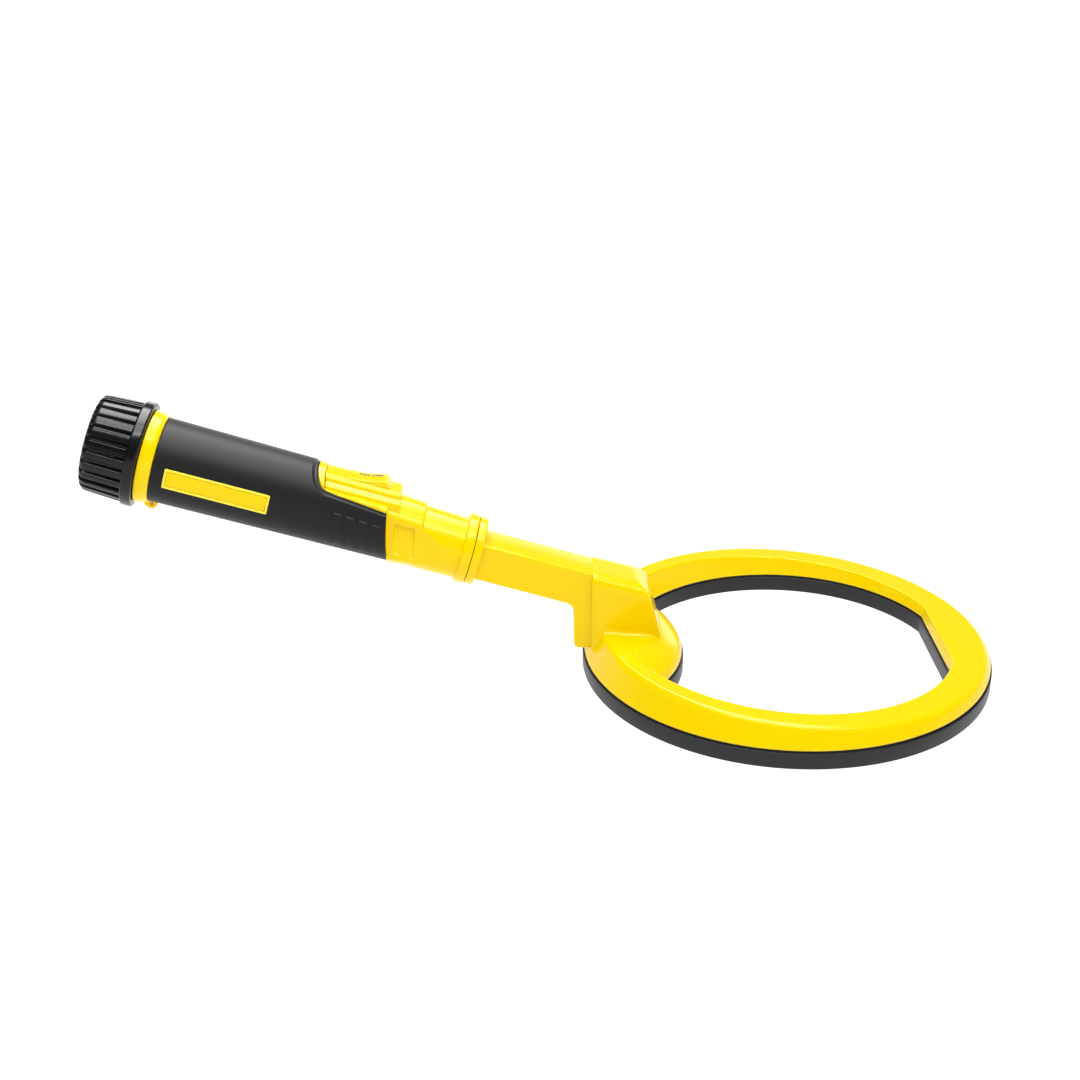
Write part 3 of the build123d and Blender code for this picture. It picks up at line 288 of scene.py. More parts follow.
def places():
    """Places along the handle and round the coil, worked out from the sizes."""
    handle = sizes_of("handle")
    grip = sizes_of("grip")
    cap = sizes_of("cap")
    coil = sizes_of("coil")
    at = SimpleNamespace()
    at.nose = -handle.gap
    at.neck = at.nose - handle.ring
    at.block = at.neck - handle.neck
    at.grip = at.block - handle.block
    at.grip_rear = at.grip - handle.grip
    at.collar = at.grip_rear - handle.joint
    at.collar_rear = at.collar - handle.collar
    at.cap = at.collar_rear - handle.cap_gap
    at.cap_rear = at.cap - cap.length
    at.thread_end = at.cap - handle.thread_length
    at.window = at.grip - grip.window
    at.rim = (COIL_HIGH.y - COIL_LOW.y) / 2
    at.hole = at.rim - coil.band
    at.chord = at.rim - coil.chord
    at.lobe = at.rim + coil.lobe
    at.heel = -(at.rim + coil.overhang)
    at.shoulder = at.heel + coil.heel
    at.front = at.shoulder + coil.body
    at.toe = at.front + coil.toe
    return at


def in_handle(x, y, w):
    """Points given in the handle's frame: the coupling point plus x along, y across and w upwards."""
    x, y, w = np.broadcast_arrays(x, y, w)
    return COUPLING + x[..., None] * ALONG + y[..., None] * ACROSS + w[..., None] * UPWARD


def on_coil(x, y, z):
    """Points given from the coil's centre on the floor."""
    x, y, z = np.broadcast_arrays(x, y, z)
    return np.stack([x + COIL_X, y, z], axis=-1)


def around(x, radius, angle, drop=0.0):
    """Points on circles round the handle, their centres dropped below the grip axis."""
    return in_handle(x, radius * np.sin(angle), radius * np.cos(angle) - drop)


def full_turn(columns):
    """Directions all the way round, evenly spaced, as one row."""
    return np.linspace(0.0, 2.0 * pi, columns, endpoint=False)[None]


def quarter_turn(steps):
    """Angles of a quarter circle, both ends included."""
    return np.linspace(0.0, pi / 2, steps)


def crowded(share, amount):
    """Even shares from 0 to 1, drawn towards both ends by a sine of that amount."""
    return share - amount * np.sin(2.0 * pi * share) / (2.0 * pi)


def smooth_step(value, low, high):
    """0 below low, 1 above high and a cubic ease between them."""
    t = np.clip((value - low) / (high - low), 0.0, 1.0)
    return t * t * (3.0 - 2.0 * t)


def smooth_min(a, b, blend):
    """The lesser of two heights, with a parabola where they differ by less than blend."""
    return np.minimum(a, b) - np.maximum(blend - np.abs(a - b), 0.0) ** 2 / (4.0 * blend)


def softened(corners, setbacks, steps=7, closed=False):
    """Profile with rounded corners: at each one a parabola between the points one setback either side."""
    point = np.asarray(corners, float)
    reach = np.asarray(setbacks, float)[:, None]
    before = np.roll(point, 1, axis=0) - point
    after = np.roll(point, -1, axis=0) - point
    if not closed:
        before[0] = 0.0
        after[-1] = 0.0
    before_length = np.maximum(np.linalg.norm(before, axis=1, keepdims=True), MERGE)
    after_length = np.maximum(np.linalg.norm(after, axis=1, keepdims=True), MERGE)
    start = (point + before / before_length * np.minimum(reach, before_length))[:, None]
    end = (point + after / after_length * np.minimum(reach, after_length))[:, None]
    t = np.linspace(0.0, 1.0, steps)[None, :, None]
    curve = (1 - t) ** 2 * start + 2 * t * (1 - t) * point[:, None] + t**2 * end
    return curve.reshape(-1, 2)


def turned(profile, drop=0.0, columns=128):
    """Surface of revolution: each profile point (x, radius) runs round a circle below the axis."""
    fall = np.broadcast_to(np.asarray(drop, float), len(profile))[:, None]
    return around(profile[:, :1], profile[:, 1:], full_turn(columns), fall)


def rounded_loops(rear, front, half, rear_corner, front_corner, arc_steps=8, side_steps=14):
    """Rounded rectangles, one to a row: quarter circles at the corners, points along the sides."""
    rows = np.broadcast_arrays(rear, front, half, rear_corner, front_corner)
    rows = [np.atleast_1d(row).astype(float)[:, None] for row in rows]
    rear, front, half, rear_corner, front_corner = rows
    angle = (quarter_turn(arc_steps)[None] + np.arange(4)[:, None] * pi / 2).reshape(-1)
    ahead = np.repeat([True, False, False, True], arc_steps)
    side = np.repeat([1.0, 1.0, -1.0, -1.0], arc_steps)
    corner = np.where(ahead, front_corner, rear_corner)
    x = np.where(ahead, front - corner, rear + corner) + corner * np.cos(angle)
    y = side * (half - corner) + corner * np.sin(angle)
    arcs = np.arange(4 * arc_steps).reshape(4, arc_steps)
    sides = arcs[:, -1:] + np.arange(1, side_steps + 1)[None] / (side_steps + 1)
    place = np.hstack([arcs, sides]).reshape(-1)
    low = np.floor(place).astype(int)
    share = place - low
    high = (low + 1) % (4 * arc_steps)
    return [line[:, low] * (1 - share) + line[:, high] * share for line in (x, y)]


def inset_outline(outline, inset):
    """Closed outline with every edge moved inwards by an inset and its corners mitred."""
    edge = np.roll(outline, -1, axis=0) - outline
    edge /= np.linalg.norm(edge, axis=1, keepdims=True)
    normal = np.stack([-edge[:, 1], edge[:, 0]], axis=1)
    previous = np.roll(normal, 1, axis=0)
    mitre = (normal + previous) / (1.0 + np.sum(normal * previous, axis=1, keepdims=True))
    return outline + mitre * inset


def rounded_prism(outline, half, edge, steps=7):
    """Outline carried across from -half to half, drawn in along quarter circles at its two ends."""
    t = quarter_turn(steps)
    end_inset = 1.25 * edge
    inset = np.append(edge * (1.0 - np.cos(t)), end_inset)
    across = np.append(half - edge * (1.0 - np.sin(t)), half)
    rows = np.stack([inset_outline(outline, value) for value in inset])
    rows = np.concatenate([rows[::-1], rows])
    y = np.concatenate([-across[::-1], across])
    return rows[..., 0], np.broadcast_to(y[:, None], rows.shape[:2]), rows[..., 1]


def distinct(outline):
    """Closed outline without repeated points."""
    keep = np.linalg.norm(outline - np.roll(outline, 1, axis=0), axis=1) > MERGE
    return outline[keep]


def grid_quads(rows, columns, closed):
    """Corner numbers of a grid's quads; a closed grid joins its last column to its first."""
    index = np.arange(rows * columns).reshape(rows, columns)
    if closed:
        index = np.hstack([index, index[:, :1]])
    corners = [index[:-1, :-1], index[:-1, 1:], index[1:, 1:], index[1:, :-1]]
    return np.stack(corners, axis=-1).reshape(-1, 4)


def sheet_mesh(name, surfaces):
    """Mesh of several grids, each closed and capped as it says, merged at seams and poles."""
    points = []
    faces = []
    start = 0
    for grid, closed, capped in surfaces:
        rows, columns = grid.shape[:2]
        points.append(grid.reshape(-1, 3))
        faces.extend((grid_quads(rows, columns, closed) + start).tolist())
        if capped:
            faces.append((start + np.arange(columns)).tolist())
            faces.append((start + (rows - 1) * columns + np.arange(columns)).tolist())
        start += rows * columns
    mesh = bpy.data.meshes.new(name)
    mesh.from_pydata(np.vstack(points).tolist(), [], faces)
    work = bmesh.new()
    work.from_mesh(mesh)
    bmesh.ops.remove_doubles(work, verts=work.verts, dist=MERGE)
    bmesh.ops.dissolve_degenerate(work, edges=work.edges, dist=MERGE)
    bmesh.ops.recalc_face_normals(work, faces=work.faces)
    work.to_mesh(mesh)
    work.free()
    return mesh


def add_piece(name, surfaces, material, body, replaced, sharp=32.0):
    """Piece at the origin from its grids, smooth up to the sharp angle, riding on its body."""
    mesh = sheet_mesh(name, surfaces)
    mesh.shade_smooth()
    mesh.set_sharp_from_angle(angle=radians(sharp))
    mesh.materials.append(material)
    piece = bpy.data.objects.new(name, mesh)
    bpy.context.scene.collection.objects.link(piece)
    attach(piece, body)
    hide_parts(*replaced)
    return piece


def new_group(name, inputs, outputs):
    """Empty shader node group with its sockets."""
    group = bpy.data.node_groups.new(name, "ShaderNodeTree")
    for label, kind, value in inputs:
        socket = group.interface.new_socket(name=label, in_out="INPUT", socket_type=kind)
        socket.default_value = value
    for label, kind in outputs:
        group.interface.new_socket(name=label, in_out="OUTPUT", socket_type=kind)
    return group, group.nodes.new("NodeGroupInput"), group.nodes.new("NodeGroupOutput")


def moulded_group():
    """Moulded skin: cloudy colour and roughness, fine grain as height, from Object coordinates."""
    found = bpy.data.node_groups.get("moulded_skin")
    if found:
        return found
    inputs = [
        ("Colour", "NodeSocketColor", (0.5, 0.5, 0.5, 1.0)),
        ("Worn", "NodeSocketColor", (0.6, 0.6, 0.6, 1.0)),
        ("Cloud", "NodeSocketFloat", 0.2),
        ("Roughness", "NodeSocketFloat", 0.4),
        ("Spread", "NodeSocketFloat", 0.1),
        ("Grain scale", "NodeSocketFloat", 900.0),
    ]
    outputs = [
        ("Colour", "NodeSocketColor"),
        ("Roughness", "NodeSocketFloat"),
        ("Height", "NodeSocketFloat"),
    ]
    group, take, give = new_group("moulded_skin", inputs, outputs)
    nodes = group.nodes
    link = group.links.new
    where = nodes.new("ShaderNodeTexCoord")
    cloud = nodes.new("ShaderNodeTexNoise")
    cloud.inputs["Scale"].default_value = 38.0
    cloud.inputs["Detail"].default_value = 4.0
    grain = nodes.new("ShaderNodeTexNoise")
    grain.inputs["Detail"].default_value = 2.0
    link(where.outputs["Object"], cloud.inputs["Vector"])
    link(where.outputs["Object"], grain.inputs["Vector"])
    link(take.outputs["Grain scale"], grain.inputs["Scale"])
    share = nodes.new("ShaderNodeMath")
    share.operation = "MULTIPLY"
    link(cloud.outputs["Fac"], share.inputs[0])
    link(take.outputs["Cloud"], share.inputs[1])
    # A mix node has three sockets of each name, and these are its colour ones
    colour_a, colour_b, colour_out = 6, 7, 2
    tint = nodes.new("ShaderNodeMix")
    tint.data_type = "RGBA"
    link(share.outputs[0], tint.inputs["Factor"])
    link(take.outputs["Colour"], tint.inputs[colour_a])
    link(take.outputs["Worn"], tint.inputs[colour_b])
    link(tint.outputs[colour_out], give.inputs["Colour"])
    rough = nodes.new("ShaderNodeMath")
    rough.operation = "MULTIPLY_ADD"
    link(cloud.outputs["Fac"], rough.inputs[0])
    link(take.outputs["Spread"], rough.inputs[1])
    link(take.outputs["Roughness"], rough.inputs[2])
    link(rough.outputs[0], give.inputs["Roughness"])
    link(grain.outputs["Fac"], give.inputs["Height"])
    return group


def moulded(
    name, colour, worn, rough, grain, cloud=0.3, spread=0.1, depth=0.00002, specular=0.5, tint=WHITE
):
    """Moulded plastic or rubber: the skin group in a Principled shader, its grain as a bump."""
    found = bpy.data.materials.get(name)
    if found:
        return found
    material = bpy.data.materials.new(name)
    material.use_nodes = True
    nodes = material.node_tree.nodes
    link = material.node_tree.links.new
    shader = nodes["Principled BSDF"]
    skin = nodes.new("ShaderNodeGroup")
    skin.node_tree = moulded_group()
    values = {
        "Colour": (*colour, 1.0),
        "Worn": (*worn, 1.0),
        "Cloud": cloud,
        "Roughness": rough - spread / 2,
        "Spread": spread,
        "Grain scale": grain,
    }
    for label, value in values.items():
        skin.inputs[label].default_value = value
    bump = nodes.new("ShaderNodeBump")
    bump.inputs["Strength"].default_value = 0.35
    bump.inputs["Distance"].default_value = depth
    link(skin.outputs["Colour"], shader.inputs["Base Color"])
    link(skin.outputs["Roughness"], shader.inputs["Roughness"])
    link(skin.outputs["Height"], bump.inputs["Height"])
    link(bump.outputs["Normal"], shader.inputs["Normal"])
    shader.inputs["Specular IOR Level"].default_value = specular
    shader.inputs["Specular Tint"].default_value = (*tint, 1.0)
    return material


def scaled(colour, times):
    """Colour made paler or darker by a factor."""
    return [times * value for value in colour]


def metal(name, colour, rough):
    """Bare metal with a fine cloudy tarnish."""
    tarnish = scaled(colour, 0.8)
    material = moulded(name, colour, tarnish, rough, grain=1500.0, cloud=0.5, spread=0.12)
    material.node_tree.nodes["Principled BSDF"].inputs["Metallic"].default_value = 1.0
    return material


def yellow_plastic():
    """Satin yellow moulding."""
    colour = colour_of("yellow")
    worn = (colour[0], 0.94 * colour[1], 0.0)
    return moulded("yellow_moulding", colour, worn, tint=(1.0, 0.92, 0.6), **SATIN)


def rim_painted_highlight_plastic():
    """Paler yellow of the label frames, a painted highlight standing in for the light that their raised
    rims catch.
    """
    return moulded("rim_yellow", (1.0, 0.86, 0.05), (1.0, 0.84, 0.04), **SATIN)


def grip_rubber():
    """Matte moulded rubber."""
    colour = colour_of("rubber")
    finish = {"cloud": 0.4, "spread": 0.06, "depth": 0.00001, "specular": 0.15}
    return moulded("sleeve_rubber", colour, scaled(colour, 1.5), rough=0.44, grain=2600.0, **finish)


def cap_plastic():
    """Glossy black moulding."""
    colour = colour_of("cap")
    finish = {"spread": 0.06, "depth": 0.000006, "specular": 0.28}
    return moulded("cap_black", colour, scaled(colour, 1.6), rough=0.19, grain=1800.0, **finish)


def skid_plastic():
    """Satin black moulding."""
    colour = colour_of("skid")
    finish = {"cloud": 0.4, "depth": 0.00003, "specular": 0.3}
    return moulded("skid_black", colour, scaled(colour, 1.7), rough=0.40, grain=1600.0, **finish)


def seal_rubber():
    """Soft black sealing rubber."""
    colour = (0.012, 0.012, 0.012)
    return moulded("seal_black", colour, (0.03, 0.03, 0.03), rough=0.5, grain=2500.0)


def spigot_plastic():
    """Black plastic of the spigot."""
    colour = (0.02, 0.02, 0.021)
    return moulded("spigot_black", colour, (0.04, 0.04, 0.04), rough=0.38, grain=1600.0)


def hole_reach(angle, inset):
    """Distance from the coil's centre to the hole's edge: the nearest of circle, chord and lobe."""
    coil = sizes_of("coil")
    at = places()
    run = np.cos(angle)
    circle = np.full_like(run, at.hole + inset)
    ahead = np.where(run > MERGE, run, 1.0)
    chord = np.where(run > MERGE, (at.chord + inset) / ahead, np.inf)
    along = at.lobe * run
    under = along**2 - at.lobe**2 + (coil.lobe_radius - inset) ** 2
    lobe = np.where((run < 0.0) & (under > 0.0), -along - np.sqrt(np.maximum(under, 0.0)), np.inf)
    return np.minimum(np.minimum(circle, chord), lobe)


def shell_height(x, y):
    """Height of the shell: the crown lowered by its leaning walls, joined to the lobe's slope."""
    coil = sizes_of("coil")
    at = places()
    reach = np.hypot(x, y)
    lip = coil.skid + coil.lip
    crown = coil.crown - x * tan(coil.crown_slope)
    outer = lip + (at.rim - coil.setback - reach) / tan(coil.slope)
    from_hole = np.maximum(reach - at.hole, x - at.chord) - coil.setback
    inner = lip + from_hole / tan(coil.hole_slope)
    depth = coil.lobe_radius - coil.setback - np.hypot(x + at.lobe, y)
    short = 1.0 - np.clip(depth / coil.lobe_rim, 0.0, 1.0)
    rim = coil.lobe_rim * np.sqrt(1.0 - short**2)
    fall = depth / tan(coil.hole_slope)
    lobe = lip + np.where(depth > 0.0, rim + depth / tan(coil.lobe_slope), fall)
    ring = smooth_min(crown, inner, coil.crest_blend)
    web = smooth_min(crown, lobe, coil.lobe_blend)
    joined = -smooth_min(-ring, -web, coil.valley)
    return smooth_min(joined, outer, coil.crown_blend)


def shell_ring(rows=90):
    """Shell as a grid: directions by shares of the way from rim to hole, closer at both edges."""
    coil = sizes_of("coil")
    at = places()
    angle = full_turn(COIL_COLUMNS)
    share = (1.0 - np.cos(np.linspace(0.0, pi, rows)))[:, None] / 2
    outer = at.rim - coil.setback
    reach = outer + (hole_reach(angle, coil.setback) - outer) * share
    x = reach * np.cos(angle)
    y = reach * np.sin(angle)
    lip = coil.skid + coil.lip
    z = np.maximum(shell_height(x, y), lip - coil.crown_blend)
    z[[0, -1]] = lip
    top = on_coil(x, y, z)
    foot = top[[0, -1]].copy()
    foot[..., 2] = coil.skid + coil.seam
    return np.concatenate([foot[:1], top, foot[1:], foot[:1]])


def skid_ring():
    """Skid as a grid: an upright band with softened edges at its rim and at the hole, closed below."""
    coil = sizes_of("coil")
    at = places()
    angle = full_turn(COIL_COLUMNS)
    soft = 0.0006
    crease = 0.0001
    step = coil.skid - coil.groove_height
    corners = [(2 * soft, 0), (0, 0), (0, step), (coil.groove, step), (coil.groove, coil.skid)]
    profile = softened(corners, [0, soft, soft / 2, crease, 0], steps=5)
    inset = profile[:, :1]
    outer = (at.rim - inset) + 0.0 * angle
    inner = np.concatenate([hole_reach(angle, value) for value in inset[:, 0]])
    reach = np.concatenate([outer, inner[::-1], outer[:1]])
    z = np.concatenate([profile[:, 1], profile[::-1, 1], profile[:1, 1]])[:, None]
    return on_coil(reach * np.cos(angle), reach * np.sin(angle), z)


def arm_level(x, w):
    """Height over the floor of the line w from the grip axis, at a distance x from the coil's centre."""
    share = (x + COIL_X - COUPLING[0] - w * UPWARD[0]) / ALONG[0]
    return COUPLING[2] + share * ALONG[2] + w * UPWARD[2]


def arm_prism():
    """Stem and heel as one side outline, carried across with rounded edges."""
    coil = sizes_of("coil")
    at = places()
    top = coil.arm_height / 2 - coil.arm_drop
    low = -coil.arm_height / 2 - coil.arm_drop
    first = COUPLING[0] + coil.flange / 2 * ALONG[0] - COIL_X
    inside = at.shoulder + coil.heel
    heel_edge = 2.2 * coil.arm_edge
    corners = [
        (first + low * UPWARD[0], arm_level(first + low * UPWARD[0], low)),
        (at.heel, arm_level(at.heel, low)),
        (at.heel, coil.heel_foot),
        (inside, coil.heel_foot),
        (inside, arm_level(inside, top)),
        (first + top * UPWARD[0], arm_level(first + top * UPWARD[0], top)),
    ]
    outline = softened(corners, [0, coil.web, heel_edge, 0, 0, 0], closed=True)
    return on_coil(*rounded_prism(distinct(outline), coil.arm_width / 2, coil.arm_edge))


def pedestal_top(x):
    """Height of the pedestal's sloping top at a distance from the coil's centre."""
    coil = sizes_of("coil")
    at = places()
    shoulder = arm_level(at.shoulder, coil.arm_height / 2 - coil.arm_drop) + coil.step
    return shoulder - (x - at.shoulder) * tan(coil.top_slope)


def pedestal_body(foot_rows=8, top_rows=9):
    """Pedestal as stacked rounded rectangles: flared foot on the shell, leaning front, round top."""
    coil = sizes_of("coil")
    at = places()
    half = coil.width / 2
    crest = pedestal_top(at.front)
    rate = (at.toe - at.front) / (crest - coil.heel_foot)
    flare = quarter_turn(foot_rows)
    out = coil.foot_round * (1.0 - np.sin(flare))
    rise = coil.foot_round * (1.0 - np.cos(flare))
    toe = at.front + rate * (crest - float(shell_height(np.array(at.front), np.array(0.0))))
    front = toe + out - rate * rise
    foot_x, foot_y = rounded_loops(
        at.shoulder - out, front, half + out, coil.arm_edge + out, coil.corner + out
    )
    stand = shell_height(foot_x[:1], foot_y[:1])
    foot_z = stand + rise[:, None]
    past_round = 1.15
    rear_share = 0.2
    corner_share = 0.3
    t = np.append(np.linspace(0.0, 1.0, top_rows), past_round)
    down = np.maximum(1.0 - t, 0.0) ** 2 * coil.top_round
    inset = t**2 * coil.top_round
    top_x, top_y = rounded_loops(
        at.shoulder + rear_share * inset,
        at.front + rate * down - inset,
        half - inset,
        np.maximum(coil.arm_edge, corner_share * inset),
        np.minimum(np.maximum(coil.corner, inset), half - inset),
    )
    top_z = pedestal_top(top_x) - down[:, None]
    hidden = np.full_like(stand, coil.skid + coil.lip)
    x = np.concatenate([foot_x[-1:], foot_x, top_x])
    y = np.concatenate([foot_y[-1:], foot_y, top_y])
    z = np.concatenate([hidden, foot_z, top_z])
    return on_coil(x, y, z)


def stem_flange():
    """Round flange that meets the nose ring."""
    coil = sizes_of("coil")
    radius = coil.flange_radius
    soft = 0.0007
    corners = [(0, 0), (0, radius), (coil.flange, radius), (coil.flange, 0)]
    return turned(softened(corners, [0, soft, soft, 0]), sizes_of("handle").ring_drop)


class DETECTOR_OT_coil(Operator):
    """Coil shell with its pedestal and stem, and the black skid"""

    bl_idname = "detector.coil"
    bl_label = "Search coil"

    def execute(self, context):
        shell = [
            (shell_ring(), *RING),
            (pedestal_body(), *CAPPED),
            (arm_prism(), *CAPPED),
            (stem_flange(), *RING),
        ]
        add_piece("coil_moulding", shell, yellow_plastic(), "coil", ["coil_shell"])
        skid = [(skid_ring(), *RING)]
        add_piece("skid_tray", skid, skid_plastic(), "coil", ["skid_plate"])
        return {"FINISHED"}


def spigot_profile():
    """Side profile of the spigot with its two ring grooves, from the tip to the flange."""
    coil = sizes_of("coil")
    nose = places().nose
    tip = nose - coil.spigot_length
    section = 2 * coil.ring_section
    floor = coil.spigot - section
    tip_edge = 0.0008
    groove_edge = 0.00015
    corners = [(tip, 0), (tip, coil.spigot)]
    for place in (coil.ring_second, coil.ring_first):
        front = nose - place
        rear = front - section
        corners += [(rear, coil.spigot), (rear, floor), (front, floor), (front, coil.spigot)]
    corners += [(coil.flange, coil.spigot), (coil.flange, 0)]
    return softened(corners, [0, tip_edge, *[groove_edge] * 8, 0, 0], steps=4)


def sealing_ring(x, radius, section, drop, steps=25):
    """Sealing ring: a circle of the section's radius carried round the axis."""
    turn = np.linspace(0.0, 2.0 * pi, steps)
    profile = np.stack([x + section * np.cos(turn), radius + section * np.sin(turn)], axis=1)
    return turned(profile, drop)


class DETECTOR_OT_spigot(Operator):
    """Spigot of the coil with its sealing rings"""

    bl_idname = "detector.spigot"
    bl_label = "Spigot"

    def execute(self, context):
        coil = sizes_of("coil")
        drop = sizes_of("handle").stem_drop
        nose = places().nose
        section = coil.ring_section
        radius = coil.spigot - section
        spigot = [(turned(spigot_profile(), drop), *RING)]
        add_piece("spigot_turned", spigot, spigot_plastic(), "coil", ["coil_spigot"])
        rings = [
            (sealing_ring(nose - place - section, radius, section, drop), *RING)
            for place in (coil.ring_first, coil.ring_second)
        ]
        add_piece("spigot_seals", rings, seal_rubber(), "coil", ["spigot_rings"])
        return {"FINISHED"}


def grip_radius(x):
    """Radius of the rubber's cone at a place along the grip."""
    grip = sizes_of("grip")
    share = (x - places().grip_rear) / sizes_of("handle").grip
    return grip.rear_radius + (grip.front_radius - grip.rear_radius) * share


def slant_edge(w):
    """Place of the rubber's leaning front edge at a height across the axis."""
    grip = sizes_of("grip")
    return places().grip - (w + grip.front_radius) * tan(grip.slant)


def window_edge(steps):
    """Edge of the window's rounded rear, from its middle to where the straight side starts."""
    grip = sizes_of("grip")
    power = 2.0 / WINDOW_POWER
    turn = quarter_turn(steps)
    x = places().window + grip.window_corner * (1.0 - np.cos(turn) ** power)
    half = grip.window_width / 2 * np.sin(turn) ** power
    return x, half


def window_side(x):
    """Half of the window's width between its straight sides, which part towards the front."""
    grip = sizes_of("grip")
    at = places()
    start = at.window + grip.window_corner
    share = np.maximum(x - start, 0.0) / (at.grip - start)
    return (grip.window_width + (grip.window_front - grip.window_width) * share) / 2


def window_distance(x, angle):
    """Distance along the rubber from the window's edge, by the outline's level and its slope."""
    grip = sizes_of("grip")
    corner = grip.window_corner
    power = WINDOW_POWER
    radius = grip_radius(x)
    reach = radius * np.arcsin(np.minimum(window_side(x) / radius, 1.0))
    u = np.maximum(places().window + corner - x, 0.0) / corner
    v = radius * np.abs(angle) / reach
    level = (u**power + v**power) ** (1.0 / power)
    slope = np.hypot((u / level) ** (power - 1) / corner, (v / level) ** (power - 1) / reach)
    return (level - 1.0) / slope


def finger_pads(x, angle, w):
    """Share of the pad rise: a row of upright rounded panels low on each side, near the front."""
    grip = sizes_of("grip")
    first = -0.0660
    half = 0.34 * grip.pad_pitch
    low = -0.0125
    high = 0.0044
    high_fall = 0.0003
    soft = 0.0003
    off_crest = 0.9
    index = np.clip(np.round((x - first) / grip.pad_pitch), 0, grip.pads - 1)
    along = half - np.abs(x - first - grip.pad_pitch * index)
    up = np.minimum(high - high_fall * index - w, w - low)
    return smooth_step(np.minimum(along, up), -soft, soft) * (np.abs(angle) > off_crest)


def edge_round(distance, soft):
    """Fall of a softened edge: a quarter circle over the last stretch before the edge."""
    near = np.clip(1.0 - distance / soft, 0.0, 1.0)
    return soft * (1.0 - np.sqrt(1.0 - near**2))


def grip_sheets(columns=241, rear_rows=90, corner_rows=44, side_rows=60):
    """Rubber as two walls: rows from rear to front, columns from one window edge to the other."""
    grip = sizes_of("grip")
    at = places()
    window_crowding = 0.84
    end_crowding = 0.8
    border_soft = 0.0006
    edge_soft = 0.0005
    wall = 0.9 * grip.rubber
    column = crowded(np.linspace(0.0, 1.0, columns), window_crowding)[None]
    rear_share = crowded(np.linspace(0.0, 1.0, rear_rows)[:-1], end_crowding)
    rear_x = at.grip_rear + (at.window - at.grip_rear) * rear_share[:, None] + 0.0 * column
    rear_angle = 2.0 * pi * column + 0.0 * rear_x
    edge_x, edge_half = window_edge(corner_rows)
    front = slant_edge(np.sqrt(grip.front_radius**2 - (grip.window_front / 2) ** 2))
    run = np.sin(quarter_turn(side_rows)[1:])
    edge_x = np.append(edge_x, edge_x[-1] + (front - edge_x[-1]) * run)
    edge_half = np.append(edge_half, window_side(edge_x[len(edge_half):]))
    opening = np.arcsin(edge_half / grip_radius(edge_x))[:, None]
    angle = opening + column * (2.0 * pi - 2.0 * opening)
    edge_w = grip_radius(edge_x) * np.cos(opening[:, 0])
    edge_share = ((edge_x - at.window) / (slant_edge(edge_w) - at.window))[:, None]
    edge_share = edge_share / edge_share[-1]
    even_share = np.sin(quarter_turn(len(edge_x)))[:, None]
    pull = np.abs(2.0 * column - 1.0) ** 3
    share = pull * edge_share + (1.0 - pull) * even_share
    ahead = slant_edge(grip.front_radius * np.cos(angle))
    x = np.concatenate([rear_x, at.window + share * (ahead - at.window)])
    angle = np.concatenate([rear_angle, angle])
    signed = np.where(angle > pi, angle - 2.0 * pi, angle)
    cone = grip_radius(x)
    away = window_distance(x, signed)
    sunk = smooth_step(grip.border - away, -border_soft, border_soft)
    from_front = slant_edge(cone * np.cos(angle)) - x
    nearest = np.minimum(np.minimum(x - at.grip_rear, from_front), away)
    radius = cone - grip.border_depth * sunk - edge_round(nearest, edge_soft)
    radius = radius + grip.pad_rise * finger_pads(x, signed, radius * np.cos(angle))
    outer = around(x, radius, angle)
    inner = around(x, cone - wall, angle)
    split = len(rear_x)
    edges = [
        np.stack([outer[0], inner[0]]),
        np.stack([outer[-1], inner[-1]]),
        np.stack([outer[split:, 0], inner[split:, 0]]),
        np.stack([outer[split:, -1], inner[split:, -1]]),
    ]
    return [(grid, *PATCH) for grid in (outer, inner, *edges)]


def label_loops(profile, side):
    """Rounded rectangles on the rubber's cone, one to a profile point (inset, height above it)."""
    grip = sizes_of("grip")
    outer_corner = 0.0005
    least_corner = 0.0002
    rear = places().grip_rear + grip.label_setback
    inset = profile[:, 0]
    corner = np.maximum(outer_corner - inset, least_corner)
    half = grip.label_height / 2 - inset
    x, across = rounded_loops(rear + inset, rear + grip.label - inset, half, corner, corner)
    radius = grip_radius(x) + profile[:, 1:]
    angle = np.arcsin(across / grip_radius(x))
    return in_handle(x, side * radius * np.cos(angle), radius * np.sin(angle))


def label_profile(outer, foot, crown, floor_inset, floor, columns=12):
    """Section of a plate: up from its foot, over a rounded edge, then level to near its middle."""
    soft = 0.0003
    middle = 0.47 * sizes_of("grip").label_height
    corners = [
        (outer, foot),
        (outer, crown),
        (floor_inset, crown),
        (floor_inset, floor),
        (floor_inset + soft, floor),
    ]
    edge = softened(corners, [0, soft, soft, 0, 0], steps=5)
    inward = np.linspace(edge[-1, 0], middle, columns)[1:]
    return np.vstack([edge, np.stack([inward, np.full_like(inward, floor)], axis=1)])


def label_plate(side):
    """Frame of the label: a raised rim round a sunk floor."""
    grip = sizes_of("grip")
    foot = -0.0012
    under_inlay = 0.0003
    floor = grip.label_proud - grip.label_recess - under_inlay
    return label_loops(label_profile(0.0, foot, grip.label_proud, grip.label_rim, floor), side)


def label_inlay(side):
    """Bare label let into the frame, with a hairline gap all round."""
    grip = sizes_of("grip")
    hairline = 0.00008
    edge_height = 0.0004
    edge_width = 0.0008
    outer = grip.label_rim + hairline
    field = grip.label_proud - grip.label_recess
    profile = label_profile(outer, field - edge_height, field, outer + edge_width, field)
    return label_loops(profile, side)


